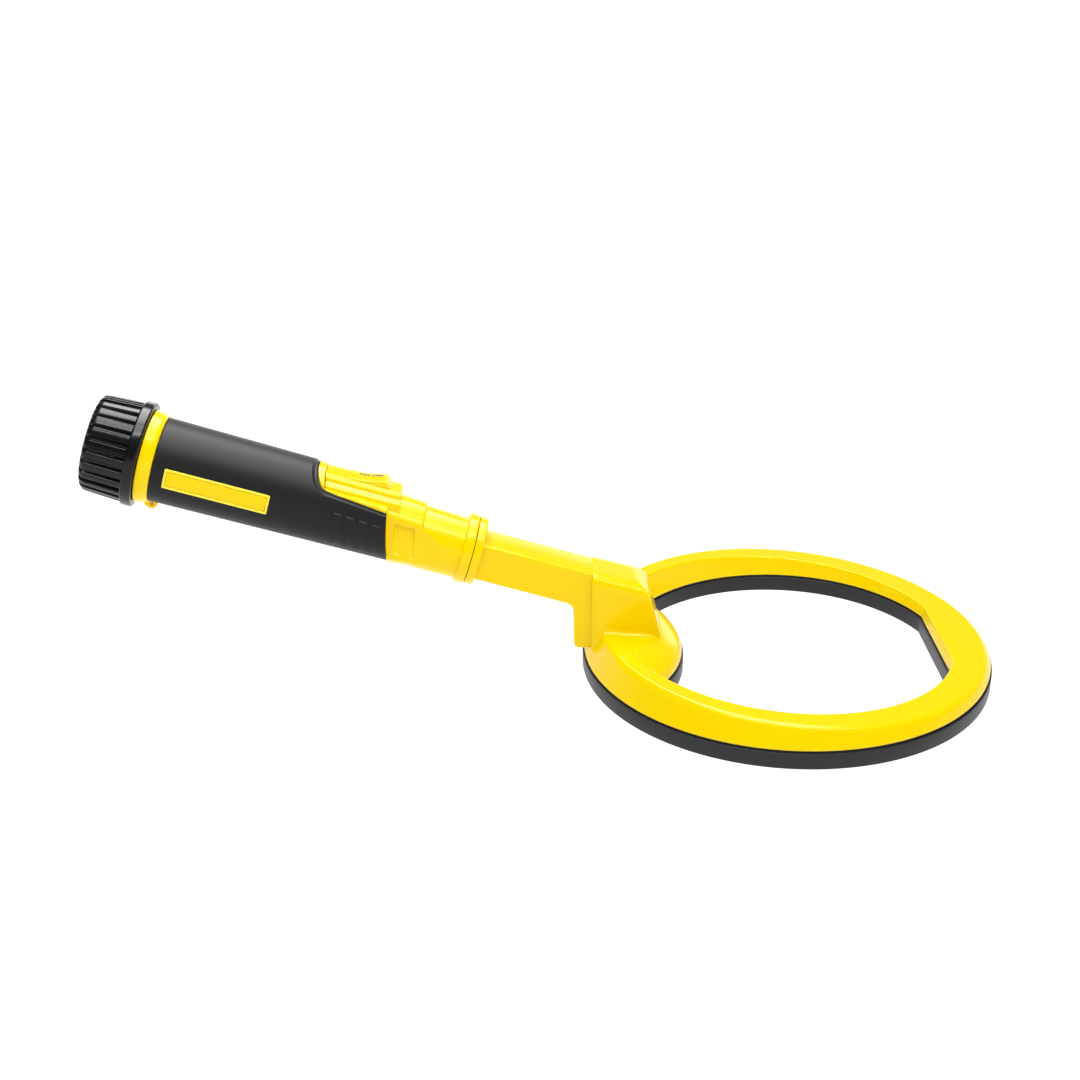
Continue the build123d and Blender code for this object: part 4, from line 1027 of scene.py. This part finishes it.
class DETECTOR_OT_grip(Operator):
    """Rubber sleeve with its window border and finger pads, and the two bare label plates"""

    bl_idname = "detector.grip"
    bl_label = "Grip and labels"

    def execute(self, context):
        sleeve = grip_sheets()
        rubber = grip_rubber()
        add_piece("rubber_sleeve", sleeve, rubber, "handle", ["grip_sleeve"], sharp=50.0)
        for side, name in ((1.0, "left"), (-1.0, "right")):
            node = f"label_plate_{name}"
            plate = [(label_plate(side), *CAPPED)]
            # The frame takes the paler yellow: a painted highlight on its raised rim
            add_piece(f"label_{name}", plate, rim_painted_highlight_plastic(), "handle", [node])
            inlay = [(label_inlay(side), *CAPPED)]
            add_piece(f"label_inlay_{name}", inlay, yellow_plastic(), "handle", [])
        return {"FINISHED"}


def side_panels(x, y, w):
    """Depth of the panels in the flat sides: soft-edged, along the leaning rubber, deeper above."""
    handle = sizes_of("handle")
    soft = 0.00015
    side = 0.8 * handle.flat / 2
    mean = 0.9
    tilt = 0.5
    past = x - slant_edge(w) - handle.panel_margin
    level = (w + handle.block_drop) / (handle.panel_height / 2)
    inside = np.minimum(past, handle.panel - past)
    inside = np.minimum(inside, (1.0 - np.abs(level)) * handle.panel_height / 2)
    sunk = smooth_step(inside, -soft, soft) * (np.abs(y) > side)
    return handle.panel_depth * (mean + tilt * level) * sunk


def barrel_grid(round_rows=9, flat_columns=56, round_columns=50):
    """Barrel as a grid: a block pressed flat at the sides, a step, tapering circles, the bore."""
    handle = sizes_of("handle")
    grip = sizes_of("grip")
    at = places()
    step = 0.00025
    under_rubber = 0.0105
    flat_fade = 0.016
    cover_start = -0.0001
    cover_end = 0.0003
    in_ring = at.neck + 0.002
    flat_half = handle.flat / 2
    bend = at.block - handle.block_round * (1.0 - np.sin(quarter_turn(round_rows)))
    block_x = np.append(np.arange(at.grip - under_rubber, bend[0] - step / 2, step), bend)
    neck_x = np.arange(at.block, in_ring, 2 * step)
    x_row = np.append(block_x, neck_x)[:, None]
    on_block = (np.arange(len(x_row)) < len(block_x))[:, None]
    limit = np.arccos(flat_half / handle.block_rear)
    flat = np.linspace(pi / 2 - limit, pi / 2 + limit, flat_columns)
    under = np.linspace(pi / 2 + limit, 3 * pi / 2 - limit, round_columns)[1:-1]
    above = np.linspace(3 * pi / 2 + limit, 5 * pi / 2 - limit, round_columns)[1:-1]
    angle = np.concatenate([flat, under, flat + pi, above])[None]
    share = (x_row - at.block) / (at.neck - at.block)
    back = (at.block - x_row) / handle.block
    block = handle.block_front + (handle.block_rear - handle.block_front) * back
    upper = np.clip(2.0 * np.cos(angle), 0.0, 1.0)
    trim = edge_round(at.block - x_row, handle.block_round) * upper
    taper = handle.rear_radius + (handle.front_radius - handle.rear_radius) * share
    fall = handle.rear_drop + (handle.front_drop - handle.rear_drop) * share
    radius = np.where(on_block, block - trim, taper)
    x = x_row + 0.0 * angle
    w = radius * np.cos(angle) - np.where(on_block, handle.block_drop, fall)
    rounding = smooth_step(x_row, at.block, at.block + flat_fade)
    width = np.where(on_block, flat_half, flat_half + (taper - flat_half) * rounding)
    y = np.clip(radius * np.sin(angle), -width, width)
    y = y - np.sign(y) * on_block * side_panels(x, y, w)
    inner = grip_radius(x) - grip.rubber
    covered = smooth_step(slant_edge(w) - x, cover_start, cover_end)
    squeeze = 1.0 - covered * (1.0 - np.minimum(inner / np.hypot(y, w), 1.0))
    outside = in_handle(x, y * squeeze, w * squeeze)
    bore_x = np.array([in_ring, at.nose - handle.socket_depth])[:, None]
    bore = around(bore_x, handle.socket_radius, angle, handle.stem_drop)
    return np.concatenate([outside, bore])


def shoulder_grid(columns=160):
    """Shoulder in front of the rubber: a leaning disc cut off below the switch floor, with a tube."""
    grip = sizes_of("grip")
    soft = 0.0005
    proud = 0.0002
    tube = 0.004
    hub = 0.004
    edge = grip.front_radius - grip.rubber * 0.95
    ceiling = sizes_of("switch").floor - 0.0005
    corners = [(-tube, edge), (proud, edge), (proud, hub)]
    profile = softened(corners, [0, soft, 0])
    angle = full_turn(columns)
    y = profile[:, 1:] * np.sin(angle)
    w = np.minimum(profile[:, 1:] * np.cos(angle), ceiling)
    return in_handle(slant_edge(w) + profile[:, :1], y, w)


def nose_ring():
    """Nose ring: outside, front face, socket mouth and back, its centre easing to the socket's."""
    handle = sizes_of("handle")
    at = places()
    soft = 0.0008
    corners = [
        (at.neck, handle.socket_radius),
        (at.neck, handle.nose_radius),
        (at.nose, handle.nose_radius),
        (at.nose, handle.socket_radius),
        (at.neck, handle.socket_radius),
    ]
    profile = softened(corners, [0, 2 * soft, soft, soft / 2, 0])
    ease = (profile[:, 1] - handle.socket_radius) / (handle.nose_radius - handle.socket_radius)
    drop = handle.stem_drop + (handle.ring_drop - handle.stem_drop) * ease
    return turned(profile, drop)


def lip_rate():
    """Rise of the slope between the switch floor and the rear lip, for each step along the handle."""
    switch = sizes_of("switch")
    return (grip_radius(places().window + switch.lip) - switch.floor) / switch.lip_run


def switch_base(edge_rows=40, slope_rows=24, nose_rows=8, columns=61):
    """Housing inside the window as a grid: the grip's curve on the rear lip, a slope, a flat floor."""
    grip = sizes_of("grip")
    switch = sizes_of("switch")
    at = places()
    gap = 0.00015
    low = 0.0085
    soft = 0.0008
    lead_in = 1.4 * switch.lip_run
    lead_out = 0.0002
    end = at.window + switch.lip
    sleeve = slant_edge(switch.floor)
    edge_x, edge_half = window_edge(edge_rows)
    straight = np.linspace(edge_x[-1], sleeve, edge_rows)[1:]
    edge_half = np.append(edge_half, window_side(straight))
    edge_x = np.append(edge_x, straight)
    slope = np.linspace(end - lead_in, end + lead_out, slope_rows)
    behind = np.sort(np.append(edge_x, slope))
    ahead = np.linspace(sleeve + gap, sleeve + switch.nose, nose_rows)
    nose_half = np.full(nose_rows, switch.base_width / 2 + gap)
    half = np.append(np.interp(behind, edge_x, edge_half), nose_half)
    across = np.linspace(-1.0, 1.0, columns)[None]
    x = np.append(behind, ahead)[:, None] + gap + 0.0 * across
    y = (half * (1.0 - gap / (grip.window_width / 2)))[:, None] * across
    cone = np.sqrt(np.maximum((grip_radius(x) - gap) ** 2 - y**2, MERGE))
    ramp = switch.floor + (end - x) * lip_rate()
    w = np.minimum(cone, np.maximum(smooth_min(cone, ramp, soft), switch.floor))
    skirt = np.pad(w, 1, mode="edge")
    skirt[0] = skirt[-1] = low
    skirt[:, 0] = skirt[:, -1] = low
    x = np.pad(x, 1, mode="edge")
    y = np.pad(y, 1, mode="edge")
    bottom = np.full_like(skirt, low)
    return in_handle(x, y, skirt), in_handle(x, y, bottom)


def track_grid():
    """Track as stacked outlines: foot, sloping ledge, low wall, sloped shoulder, top, leaning ends."""
    switch = sizes_of("switch")
    at = places()
    below_floor = 0.0003
    crease = 0.0002
    overlap = 0.0002
    corner = 0.0005
    half = switch.base_width / 2
    near_middle = 0.94 * half
    step = half - switch.step_width / 2
    corners = [
        (0.0, switch.floor - below_floor),
        (half - switch.ledge_width / 2, switch.ledge - switch.ledge_fall),
        (step, switch.ledge + crease),
        (step, switch.ledge + switch.step_wall),
        (half - switch.top_width / 2, switch.top),
        (near_middle, switch.top),
    ]
    softening = [0, 0.0008, 0.0005, 0.0005, 0.0004, 0]
    profile = softened(corners, softening)
    inset = profile[:, 0]
    height = profile[:, 1]
    rear = at.window + switch.lip + overlap - (height - switch.floor) / lip_rate()
    front = slant_edge(height) + switch.nose
    x, y = rounded_loops(rear, front, half - inset, corner, corner)
    return in_handle(x, y, profile[:, 1:] + 0.0 * x)


def slider_line():
    """Top of the thumb slider in side view: rear edge, dip, crest and leaning front, softened."""
    switch = sizes_of("switch")
    foot = switch.top + switch.slider_gap
    rear = places().window + switch.lip + switch.slider_rear
    front = rear + switch.slider
    corners = [
        (rear, foot + switch.slider_tail),
        (rear + switch.slider_dip_run, foot + switch.slider_dip),
        (front - switch.slider_nose, foot + switch.slider_rise),
        (front, foot),
    ]
    softening = [0, 0.003, 0.0008, 0]
    return softened(corners, softening, steps=9)


def slider_wedge(edge_columns=7):
    """Thumb slider as a grid: places along its top line, by a section with rounded upper edges."""
    switch = sizes_of("switch")
    clearance = 0.00003
    edge_soft = 0.0006
    foot = switch.top + clearance
    half = switch.slider_width / 2
    line = slider_line()
    soft = np.minimum(edge_soft, line[:, 1:] - foot)
    turn = quarter_turn(edge_columns)[None]
    across = half - soft * (1.0 - np.cos(turn))
    height = line[:, 1:] - soft * (1.0 - np.sin(turn))
    side = np.full((len(line), 1), half)
    base = np.full((len(line), 1), foot)
    y = np.hstack([-side, -across, across[:, ::-1], side])
    w = np.hstack([base, height, height[:, ::-1], base])
    return in_handle(line[:, :1], y, w)


def threaded_neck(columns=128):
    """Neck as a grid of places and directions: a helical ridge, and the sealing ring's groove."""
    handle = sizes_of("handle")
    grip = sizes_of("grip")
    at = places()
    step = 0.0002
    valley_start = 0.35
    valley_end = 0.65
    run_out = 0.0075
    run_fade = 0.001
    thread_depth = 0.0007
    groove_soft = 0.0001
    bore = 0.0153
    body = grip.rear_radius - grip.rubber
    inside = at.grip_rear + 0.004
    x = np.arange(at.thread_end, at.cap, step)[:, None]
    angle = full_turn(columns)
    phase = x / handle.thread_pitch + angle / (2.0 * pi)
    ridge = np.abs((phase % 1.0) * 2.0 - 1.0)
    fade = smooth_step(at.cap - run_out - x, 0.0, run_fade)
    cut = smooth_step(ridge, valley_start, valley_end) * fade
    from_seal = np.abs(x - (at.cap - SEAL_SETBACK))
    groove = smooth_step(SEAL_ROOM - from_seal, -groove_soft, groove_soft)
    radius = handle.thread_radius - thread_depth * cut - 2 * SEAL_ROOM * groove
    tail = [(at.cap, handle.thread_radius), (at.cap, body), (inside, body), (inside, 0)]
    lining = [(at.grip_rear, bore), (at.thread_end, bore)]
    return np.concatenate([turned(np.array(lining)), around(x, radius, angle), turned(np.array(tail))])


class DETECTOR_OT_housing(Operator):
    """Yellow housing: barrel with side panels, nose ring, switch base and threaded neck"""

    bl_idname = "detector.housing"
    bl_label = "Housing"

    def execute(self, context):
        base, bottom = switch_base()
        shell = [
            (barrel_grid(), *CAPPED),
            (shoulder_grid(), *CAPPED),
            (nose_ring(), *RING),
            (base, *PATCH),
            (bottom, *PATCH),
            (threaded_neck(), *RING),
        ]
        yellow = yellow_plastic()
        add_piece("housing_moulding", shell, yellow, "handle", ["handle_housing"])
        return {"FINISHED"}


def mark_mesh(word, size=0.0031, depth=0.00003, swell=4):
    """Mesh of a short word, its strokes swollen by a few depths, centred on the origin."""
    curve = bpy.data.curves.new("mark", "FONT")
    curve.body = word
    curve.size = size
    curve.extrude = depth
    curve.offset = depth * swell
    curve.align_x = "CENTER"
    curve.align_y = "CENTER"
    text = bpy.data.objects.new("mark", curve)
    bpy.context.scene.collection.objects.link(text)
    bpy.context.view_layer.update()
    drawn = text.evaluated_get(bpy.context.evaluated_depsgraph_get())
    mesh = bpy.data.meshes.new_from_object(drawn)
    bpy.data.objects.remove(text)
    return mesh


def laid_mark(word, share):
    """Word laid on the slider's slope, a share of the way from its foot to its crest."""
    switch = sizes_of("switch")
    aside = 0.002
    line_x, line_w = slider_line().T
    dip = line_x[0] + switch.slider_dip_run
    crest = line_x[-1] - switch.slider_nose
    mesh = mark_mesh(word)
    flat = np.empty(len(mesh.vertices) * 3)
    mesh.vertices.foreach_get("co", flat)
    along, across, up = flat.reshape(-1, 3).T
    x = dip + (crest - dip) * share + along
    w = np.interp(x, line_x, line_w) + up
    mesh.vertices.foreach_set("co", in_handle(x, across + aside, w).ravel())
    mesh.update()
    return mesh


class DETECTOR_OT_switch(Operator):
    """Slide switch: its track, the thumb slider and the plain ON and OFF marks"""

    bl_idname = "detector.switch"
    bl_label = "Slide switch"

    def execute(self, context):
        track = [(track_grid(), *CAPPED)]
        add_piece("switch_track", track, yellow_plastic(), "handle", ["switch_deck"])
        wedge = [(slider_wedge(), *CAPPED)]
        add_piece("slider_wedge", wedge, yellow_plastic(), "switch", ["thumb_slider"])
        ink = colour_of("ink")
        printed = moulded("mark_ink", ink, ink, rough=0.5, grain=1500.0, cloud=0.2, depth=0.00001)
        for word, share in (("ON", 0.0), ("OFF", 0.57)):
            mesh = laid_mark(word, share)
            mesh.materials.append(printed)
            mark = bpy.data.objects.new(f"mark_{word.lower()}", mesh)
            context.scene.collection.objects.link(mark)
            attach(mark, "switch")
        return {"FINISHED"}


def cap_outline():
    """Side profile of the cap: dished rear, ribbed wall, smooth flange, then the bore to its floor."""
    cap = sizes_of("cap")
    at = places()
    bore = sizes_of("handle").thread_radius + cap.clearance
    step = at.cap - cap.flange
    dish = at.cap_rear + 0.0007
    dish_radius = cap.radius - 0.0068
    dish_rim = cap.radius - 0.0056
    floor = at.cap_rear + cap.wall
    corners = [
        (dish, 0),
        (dish, dish_radius),
        (at.cap_rear, dish_rim),
        (at.cap_rear, cap.radius - cap_taper() * cap.edge),
        (step, cap.front_radius),
        (step, cap.flange_radius),
        (at.cap, cap.flange_radius),
        (at.cap, bore),
        (floor, bore),
        (floor, 0),
    ]
    softening = [0, 0.0005, 0.0006, 1.2 * cap.edge, 0.0003, 0.0010, 0.0014, 0.0003, 0.0004, 0]
    return softened(corners, softening, steps=9)


def cap_taper():
    """Growth of the cap's radius for each step along it, from its rear edge to the flange."""
    cap = sizes_of("cap")
    at = places()
    return (cap.front_radius - cap.radius) / (at.cap - cap.flange - (at.cap_rear + cap.edge))


def cap_grid():
    """End cap as a grid of profile points and directions: ribs are a radius lowered in grooves."""
    cap = sizes_of("cap")
    at = places()
    flank_low = 0.65
    flank_high = 1.75
    rib_crown = 0.0002
    fade_low = -0.0026
    fade_high = -0.0016
    past_step = 0.00025
    above_ribs = 0.0003
    step = at.cap - cap.flange
    start = at.cap_rear + cap.edge
    pitch = 2.0 * pi / cap.ribs
    half = cap.groove / 2 / cap.radius / pitch
    floor = np.linspace(0.0, half * 0.5, 3)
    flank = np.linspace(half * flank_low, half * flank_high, 9)
    crest = np.linspace(half * 2.0, 0.5, 4)
    across = np.concatenate([floor, flank, crest])
    across = np.concatenate([across, 1.0 - across[-2:0:-1]])
    angle = ((across[None] + np.arange(cap.ribs)[:, None] + 0.5) * pitch).reshape(1, -1)
    from_groove = np.minimum(across, 1.0 - across)
    cut = 1.0 - smooth_step(from_groove, half * flank_low, half * flank_high)
    crown = rib_crown * (1.0 - (2.0 * across - 1.0) ** 2)
    cut = np.tile(cut, cap.ribs)[None]
    crown = np.tile(crown, cap.ribs)[None]
    profile = cap_outline()
    x = profile[:, :1]
    radius = profile[:, 1:]
    widening = cap_taper() * (np.minimum(x, step) - start)
    over = radius - cap.radius - widening
    ribbed = smooth_step(over, fade_low, fade_high) * (x < step + past_step) * (over < above_ribs)
    radius = radius - ribbed * ((cap.groove_depth + widening) * cut + rib_crown - crown)
    return around(x, radius, angle)


def collar_grid():
    """Collar: a tapered ring with softened edges, carried round the axis."""
    grip = sizes_of("grip")
    cap = sizes_of("cap")
    at = places()
    shoulder = at.collar - 0.0012
    shoulder_radius = cap.collar_front + 0.0007
    inner = grip.rear_radius - grip.rubber
    corners = [
        (at.collar_rear, inner),
        (at.collar_rear, cap.collar_rear),
        (shoulder, shoulder_radius),
        (at.collar, cap.collar_front),
        (at.collar, inner),
        (at.collar_rear, inner),
    ]
    softening = [0, 0.0007, 0.0008, 0.0005, 0, 0]
    return turned(softened(corners, softening))


def lug_grid(columns=64):
    """Lanyard lug: a rounded tab's outline and the eye's circle, joined over both faces and the bore."""
    cap = sizes_of("cap")
    eye_x = places().collar + cap.eye_reach
    eye_w = -(cap.collar_front + cap.eye_clearance + cap.eye)
    reach = cap.eye + cap.eye_wall
    root_rise = 1.2
    root_top = 0.55
    run = np.cos(full_turn(columns)[0])
    rise = np.sin(full_turn(columns)[0])
    back = (cap.eye_reach + cap.eye_tail) / reach
    outer_x = np.where(run < 0.0, run * back, run) * reach
    outer_w = np.where(rise > 0.0, np.minimum(rise * root_rise, root_top), rise) * reach
    # Half of the section: share of the way from the outline to the eye, and share of the half width
    half_section = [
        (0.0, 0.0),
        (0.0, 0.70),
        (0.02, 0.86),
        (0.10, 0.96),
        (0.22, 1.0),
        (0.85, 1.0),
        (1.0, 0.94),
    ]
    share, width = np.array(half_section).T
    y = cap.eye_width / 2 * np.concatenate([-width, width[::-1]])[:, None]
    share = np.concatenate([share, share[::-1]])[:, None]
    x = eye_x + outer_x * (1.0 - share) + cap.eye * run * share
    w = eye_w + outer_w * (1.0 - share) + cap.eye * rise * share
    return in_handle(x, y, w)


class DETECTOR_OT_cap(Operator):
    """Ribbed end cap, the collar with its lanyard lug and the neck's sealing ring"""

    bl_idname = "detector.cap"
    bl_label = "End cap and collar"

    def execute(self, context):
        cap = [(cap_grid(), *RING)]
        add_piece("cap_ribbed", cap, cap_plastic(), "cap", ["end_cap"])
        collar = [(collar_grid(), *RING), (lug_grid(), *RING)]
        add_piece("collar_ring", collar, yellow_plastic(), "handle", ["lanyard_collar"])
        radius = sizes_of("handle").thread_radius - SEAL_ROOM
        seal = [(sealing_ring(places().cap - SEAL_SETBACK, radius, SEAL_SECTION, 0.0), *RING)]
        add_piece("neck_seal", seal, seal_rubber(), "handle", ["neck_ring"])
        return {"FINISHED"}


class DETECTOR_OT_works(Operator):
    """Finishes of the pieces inside the handle and the coil"""

    bl_idname = "detector.works"
    bl_label = "Inner works"

    def execute(self, context):
        plain = {"cloud": 0.4, "rough": 0.45, "grain": 1500.0}
        dark = {"cloud": 0.4, "rough": 0.4, "grain": 2000.0}
        lacquer = {"cloud": 0.5, "rough": 0.3, "grain": 900.0, "depth": 0.00001}
        cast = {"cloud": 0.5, "rough": 0.35, "spread": 0.15, "grain": 300.0, "depth": 0.00004}
        grey = moulded("inner_grey", (0.10, 0.105, 0.11), (0.14, 0.14, 0.15), **plain)
        chip = moulded("chip_black", (0.012, 0.012, 0.013), (0.03, 0.03, 0.03), **dark)
        board = moulded("board_green", (0.01, 0.07, 0.02), (0.015, 0.10, 0.03), **lacquer)
        resin = moulded("cast_resin", (0.02, 0.02, 0.022), (0.04, 0.04, 0.045), **cast)
        brass = metal("bright_brass", (0.72, 0.50, 0.18), 0.28)
        steel = metal("bright_steel", (0.60, 0.60, 0.61), 0.26)
        jacket = metal("cell_metal", (0.66, 0.67, 0.70), 0.32)
        copper = metal("copper_wire", (0.62, 0.27, 0.10), 0.35)
        contacts = ["front_contact", "cap_contact", "return_strip", "socket_contacts", "contact_pins"]
        finishes = {
            grey: ["battery_holder", "board_carrier", "socket_block", "plug_insert"],
            chip: ["control_chip", "pulse_driver", "field_sensor"],
            board: ["circuit_board"],
            resin: ["coil_potting"],
            brass: [*contacts, "sounder_disc"],
            steel: ["battery_spring", "board_screws", "vibration_motor", "motor_weight", "slider_magnet"],
            jacket: ["battery_cell", "storage_capacitor"],
            copper: ["search_winding"],
            seal_rubber(): ["cap_gasket", "coil_lead"],
        }
        for material, nodes in finishes.items():
            for node in nodes:
                mesh = frame["nodes"][node].data
                mesh.materials.clear()
                mesh.materials.append(material)
        return {"FINISHED"}


def facing(right, up, back, place):
    """Matrix that puts a light or a camera at a place, with its axes along right, up and back."""
    rows = [(right[i], up[i], back[i], place[i]) for i in range(3)]
    return Matrix([*rows, (0.0, 0.0, 0.0, 1.0)])


def area_light(name, power, size, place, aim=PART_MIDDLE):
    """Soft box: a rectangular area light that faces a point."""
    data = bpy.data.lights.new(name, "AREA")
    data.energy = power
    data.shape = "RECTANGLE"
    data.size, data.size_y = size
    light = bpy.data.objects.new(name, data)
    back = np.array(place) - np.array(aim)
    back = back / np.linalg.norm(back)
    up = np.cross(back, [1.0, 0.0, 0.0])
    up = up / np.linalg.norm(up)
    light.matrix_world = facing(np.cross(up, back), up, back, place)
    bpy.context.scene.collection.objects.link(light)
    return light


def studio_world():
    """World that is white up to just above the horizon and dim overhead, by the direction's height."""
    world = bpy.data.worlds.new("studio")
    world.use_nodes = True
    nodes = world.node_tree.nodes
    link = world.node_tree.links.new
    background = nodes["Background"]
    background.inputs["Color"].default_value = (*WHITE, 1.0)
    where = nodes.new("ShaderNodeTexCoord")
    parts = nodes.new("ShaderNodeSeparateXYZ")
    horizon = nodes.new("ShaderNodeMapRange")
    fade = {"From Min": 0.08, "From Max": 0.2, "To Min": 1.0, "To Max": 0.12}
    for label, value in fade.items():
        horizon.inputs[label].default_value = value
    link(where.outputs["Generated"], parts.inputs["Vector"])
    link(parts.outputs["Z"], horizon.inputs["Value"])
    link(horizon.outputs["Result"], background.inputs["Strength"])
    return world


def paper_floor(reach=8.0, drop=0.011):
    """White floor that glows, far enough below the sole to clear the coil as it is pulled out."""
    corners = np.array([(-1, -1, 0), (1, -1, 0), (-1, 1, 0), (1, 1, 0)]) * reach
    corners[:, 2] = -drop
    mesh = sheet_mesh("floor", [(corners.reshape(2, 2, 3), *PATCH)])
    paper = bpy.data.materials.new("floor_paper")
    paper.use_nodes = True
    shader = paper.node_tree.nodes["Principled BSDF"]
    shader.inputs["Base Color"].default_value = (0.05, 0.05, 0.05, 1.0)
    shader.inputs["Roughness"].default_value = 0.9
    shader.inputs["Specular IOR Level"].default_value = 0.1
    shader.inputs["Emission Color"].default_value = (*WHITE, 1.0)
    shader.inputs["Emission Strength"].default_value = 1.18
    mesh.materials.append(paper)
    return bpy.data.objects.new("floor", mesh)


def studio_lights():
    """Strips and boxes overhead and a card behind; some are seen only in gloss or only in shading."""
    area_light("near_strip", 6.0, (1.4, 0.05), (0.1, -0.58, 1.25))
    area_light("over_strip", 3.0, (1.4, 0.05), (0.1, -0.14, 1.25))
    area_light("top_box", 9.0, (0.9, 0.9), (0.05, 0.5, 1.25))
    gloss = area_light("top_gloss", 30.0, (0.85, 1.2), (0.05, 0.5, 1.3))
    gloss.visible_diffuse = False
    sheen = area_light("front_gloss", 9.0, (0.85, 0.45), (0.05, -0.37, 1.28))
    sheen.visible_diffuse = False
    fill = area_light("fill_box", 8.0, (1.2, 0.8), (0.25, -0.6, 1.4))
    fill.visible_glossy = False
    area_light("back_card", 24.0, (5.0, 0.9), (0.0, 3.0, 0.6), aim=(0.0, 0.0, 0.3))


def fitted_camera():
    """Camera at the photograph's viewing angle: along the floor's y, tipped down and rolled."""
    elevation = radians(24.173976)
    roll = radians(0.669687)
    eye = (COIL_X - 0.12058, -0.65898, 0.36320)
    level = np.array([1.0, 0.0, 0.0])
    upright = np.array([0.0, sin(elevation), cos(elevation)])
    back = np.array([0.0, -cos(elevation), sin(elevation)])
    right = cos(roll) * level - sin(roll) * upright
    up = sin(roll) * level + cos(roll) * upright
    data = bpy.data.cameras.new("view")
    data.lens = 50.0
    data.sensor_width = 36.0
    data.clip_start = 0.01
    camera = bpy.data.objects.new("view", data)
    camera.matrix_world = facing(right, up, back, eye)
    return camera


class DETECTOR_OT_stage(Operator):
    """Pale floor, soft studio light and the camera"""

    bl_idname = "detector.stage"
    bl_label = "Stage"

    def execute(self, context):
        scene = context.scene
        scene.view_settings.view_transform = "Standard"
        scene.world = studio_world()
        floor = paper_floor()
        scene.collection.objects.link(floor)
        studio_lights()
        camera = fitted_camera()
        scene.collection.objects.link(camera)
        scene.camera = camera
        return {"FINISHED"}


PIECES = (
    DETECTOR_OT_coil,
    DETECTOR_OT_spigot,
    DETECTOR_OT_housing,
    DETECTOR_OT_grip,
    DETECTOR_OT_switch,
    DETECTOR_OT_cap,
    DETECTOR_OT_works,
    DETECTOR_OT_stage,
)
GROUPS = {
    "detector_handle": HandleSizes,
    "detector_grip": GripSizes,
    "detector_switch": SwitchSizes,
    "detector_cap": CapSizes,
    "detector_coil": CoilSizes,
    "detector_finish": Finishes,
}


class DETECTOR_PT_panel(Panel):
    """Lists the pieces of the detector"""

    bl_label = "Underwater metal detector"
    bl_space_type = "VIEW_3D"
    bl_region_type = "UI"
    bl_category = "Detector"

    def draw(self, context):
        for piece in PIECES:
            self.layout.operator(piece.bl_idname)
        for name in GROUPS:
            box = self.layout.box()
            group = getattr(context.scene, name)
            for size in group.__annotations__:
                box.prop(group, size)


def register():
    """Adds the property groups, the operators and the panel."""
    for name, group in GROUPS.items():
        bpy.utils.register_class(group)
        setattr(bpy.types.Scene, name, PointerProperty(type=group))
    for item in (*PIECES, DETECTOR_PT_panel):
        bpy.utils.register_class(item)


def unregister():
    """Takes away the panel, the operators and the property groups."""
    for item in (DETECTOR_PT_panel, *reversed(PIECES)):
        bpy.utils.unregister_class(item)
    for name, group in GROUPS.items():
        delattr(bpy.types.Scene, name)
        bpy.utils.unregister_class(group)


def main():
    """Builds every piece and the stage."""
    register()
    for piece in PIECES:
        group, name = piece.bl_idname.split(".")
        getattr(getattr(bpy.ops, group), name)()


if __name__ == "__main__":
    main()
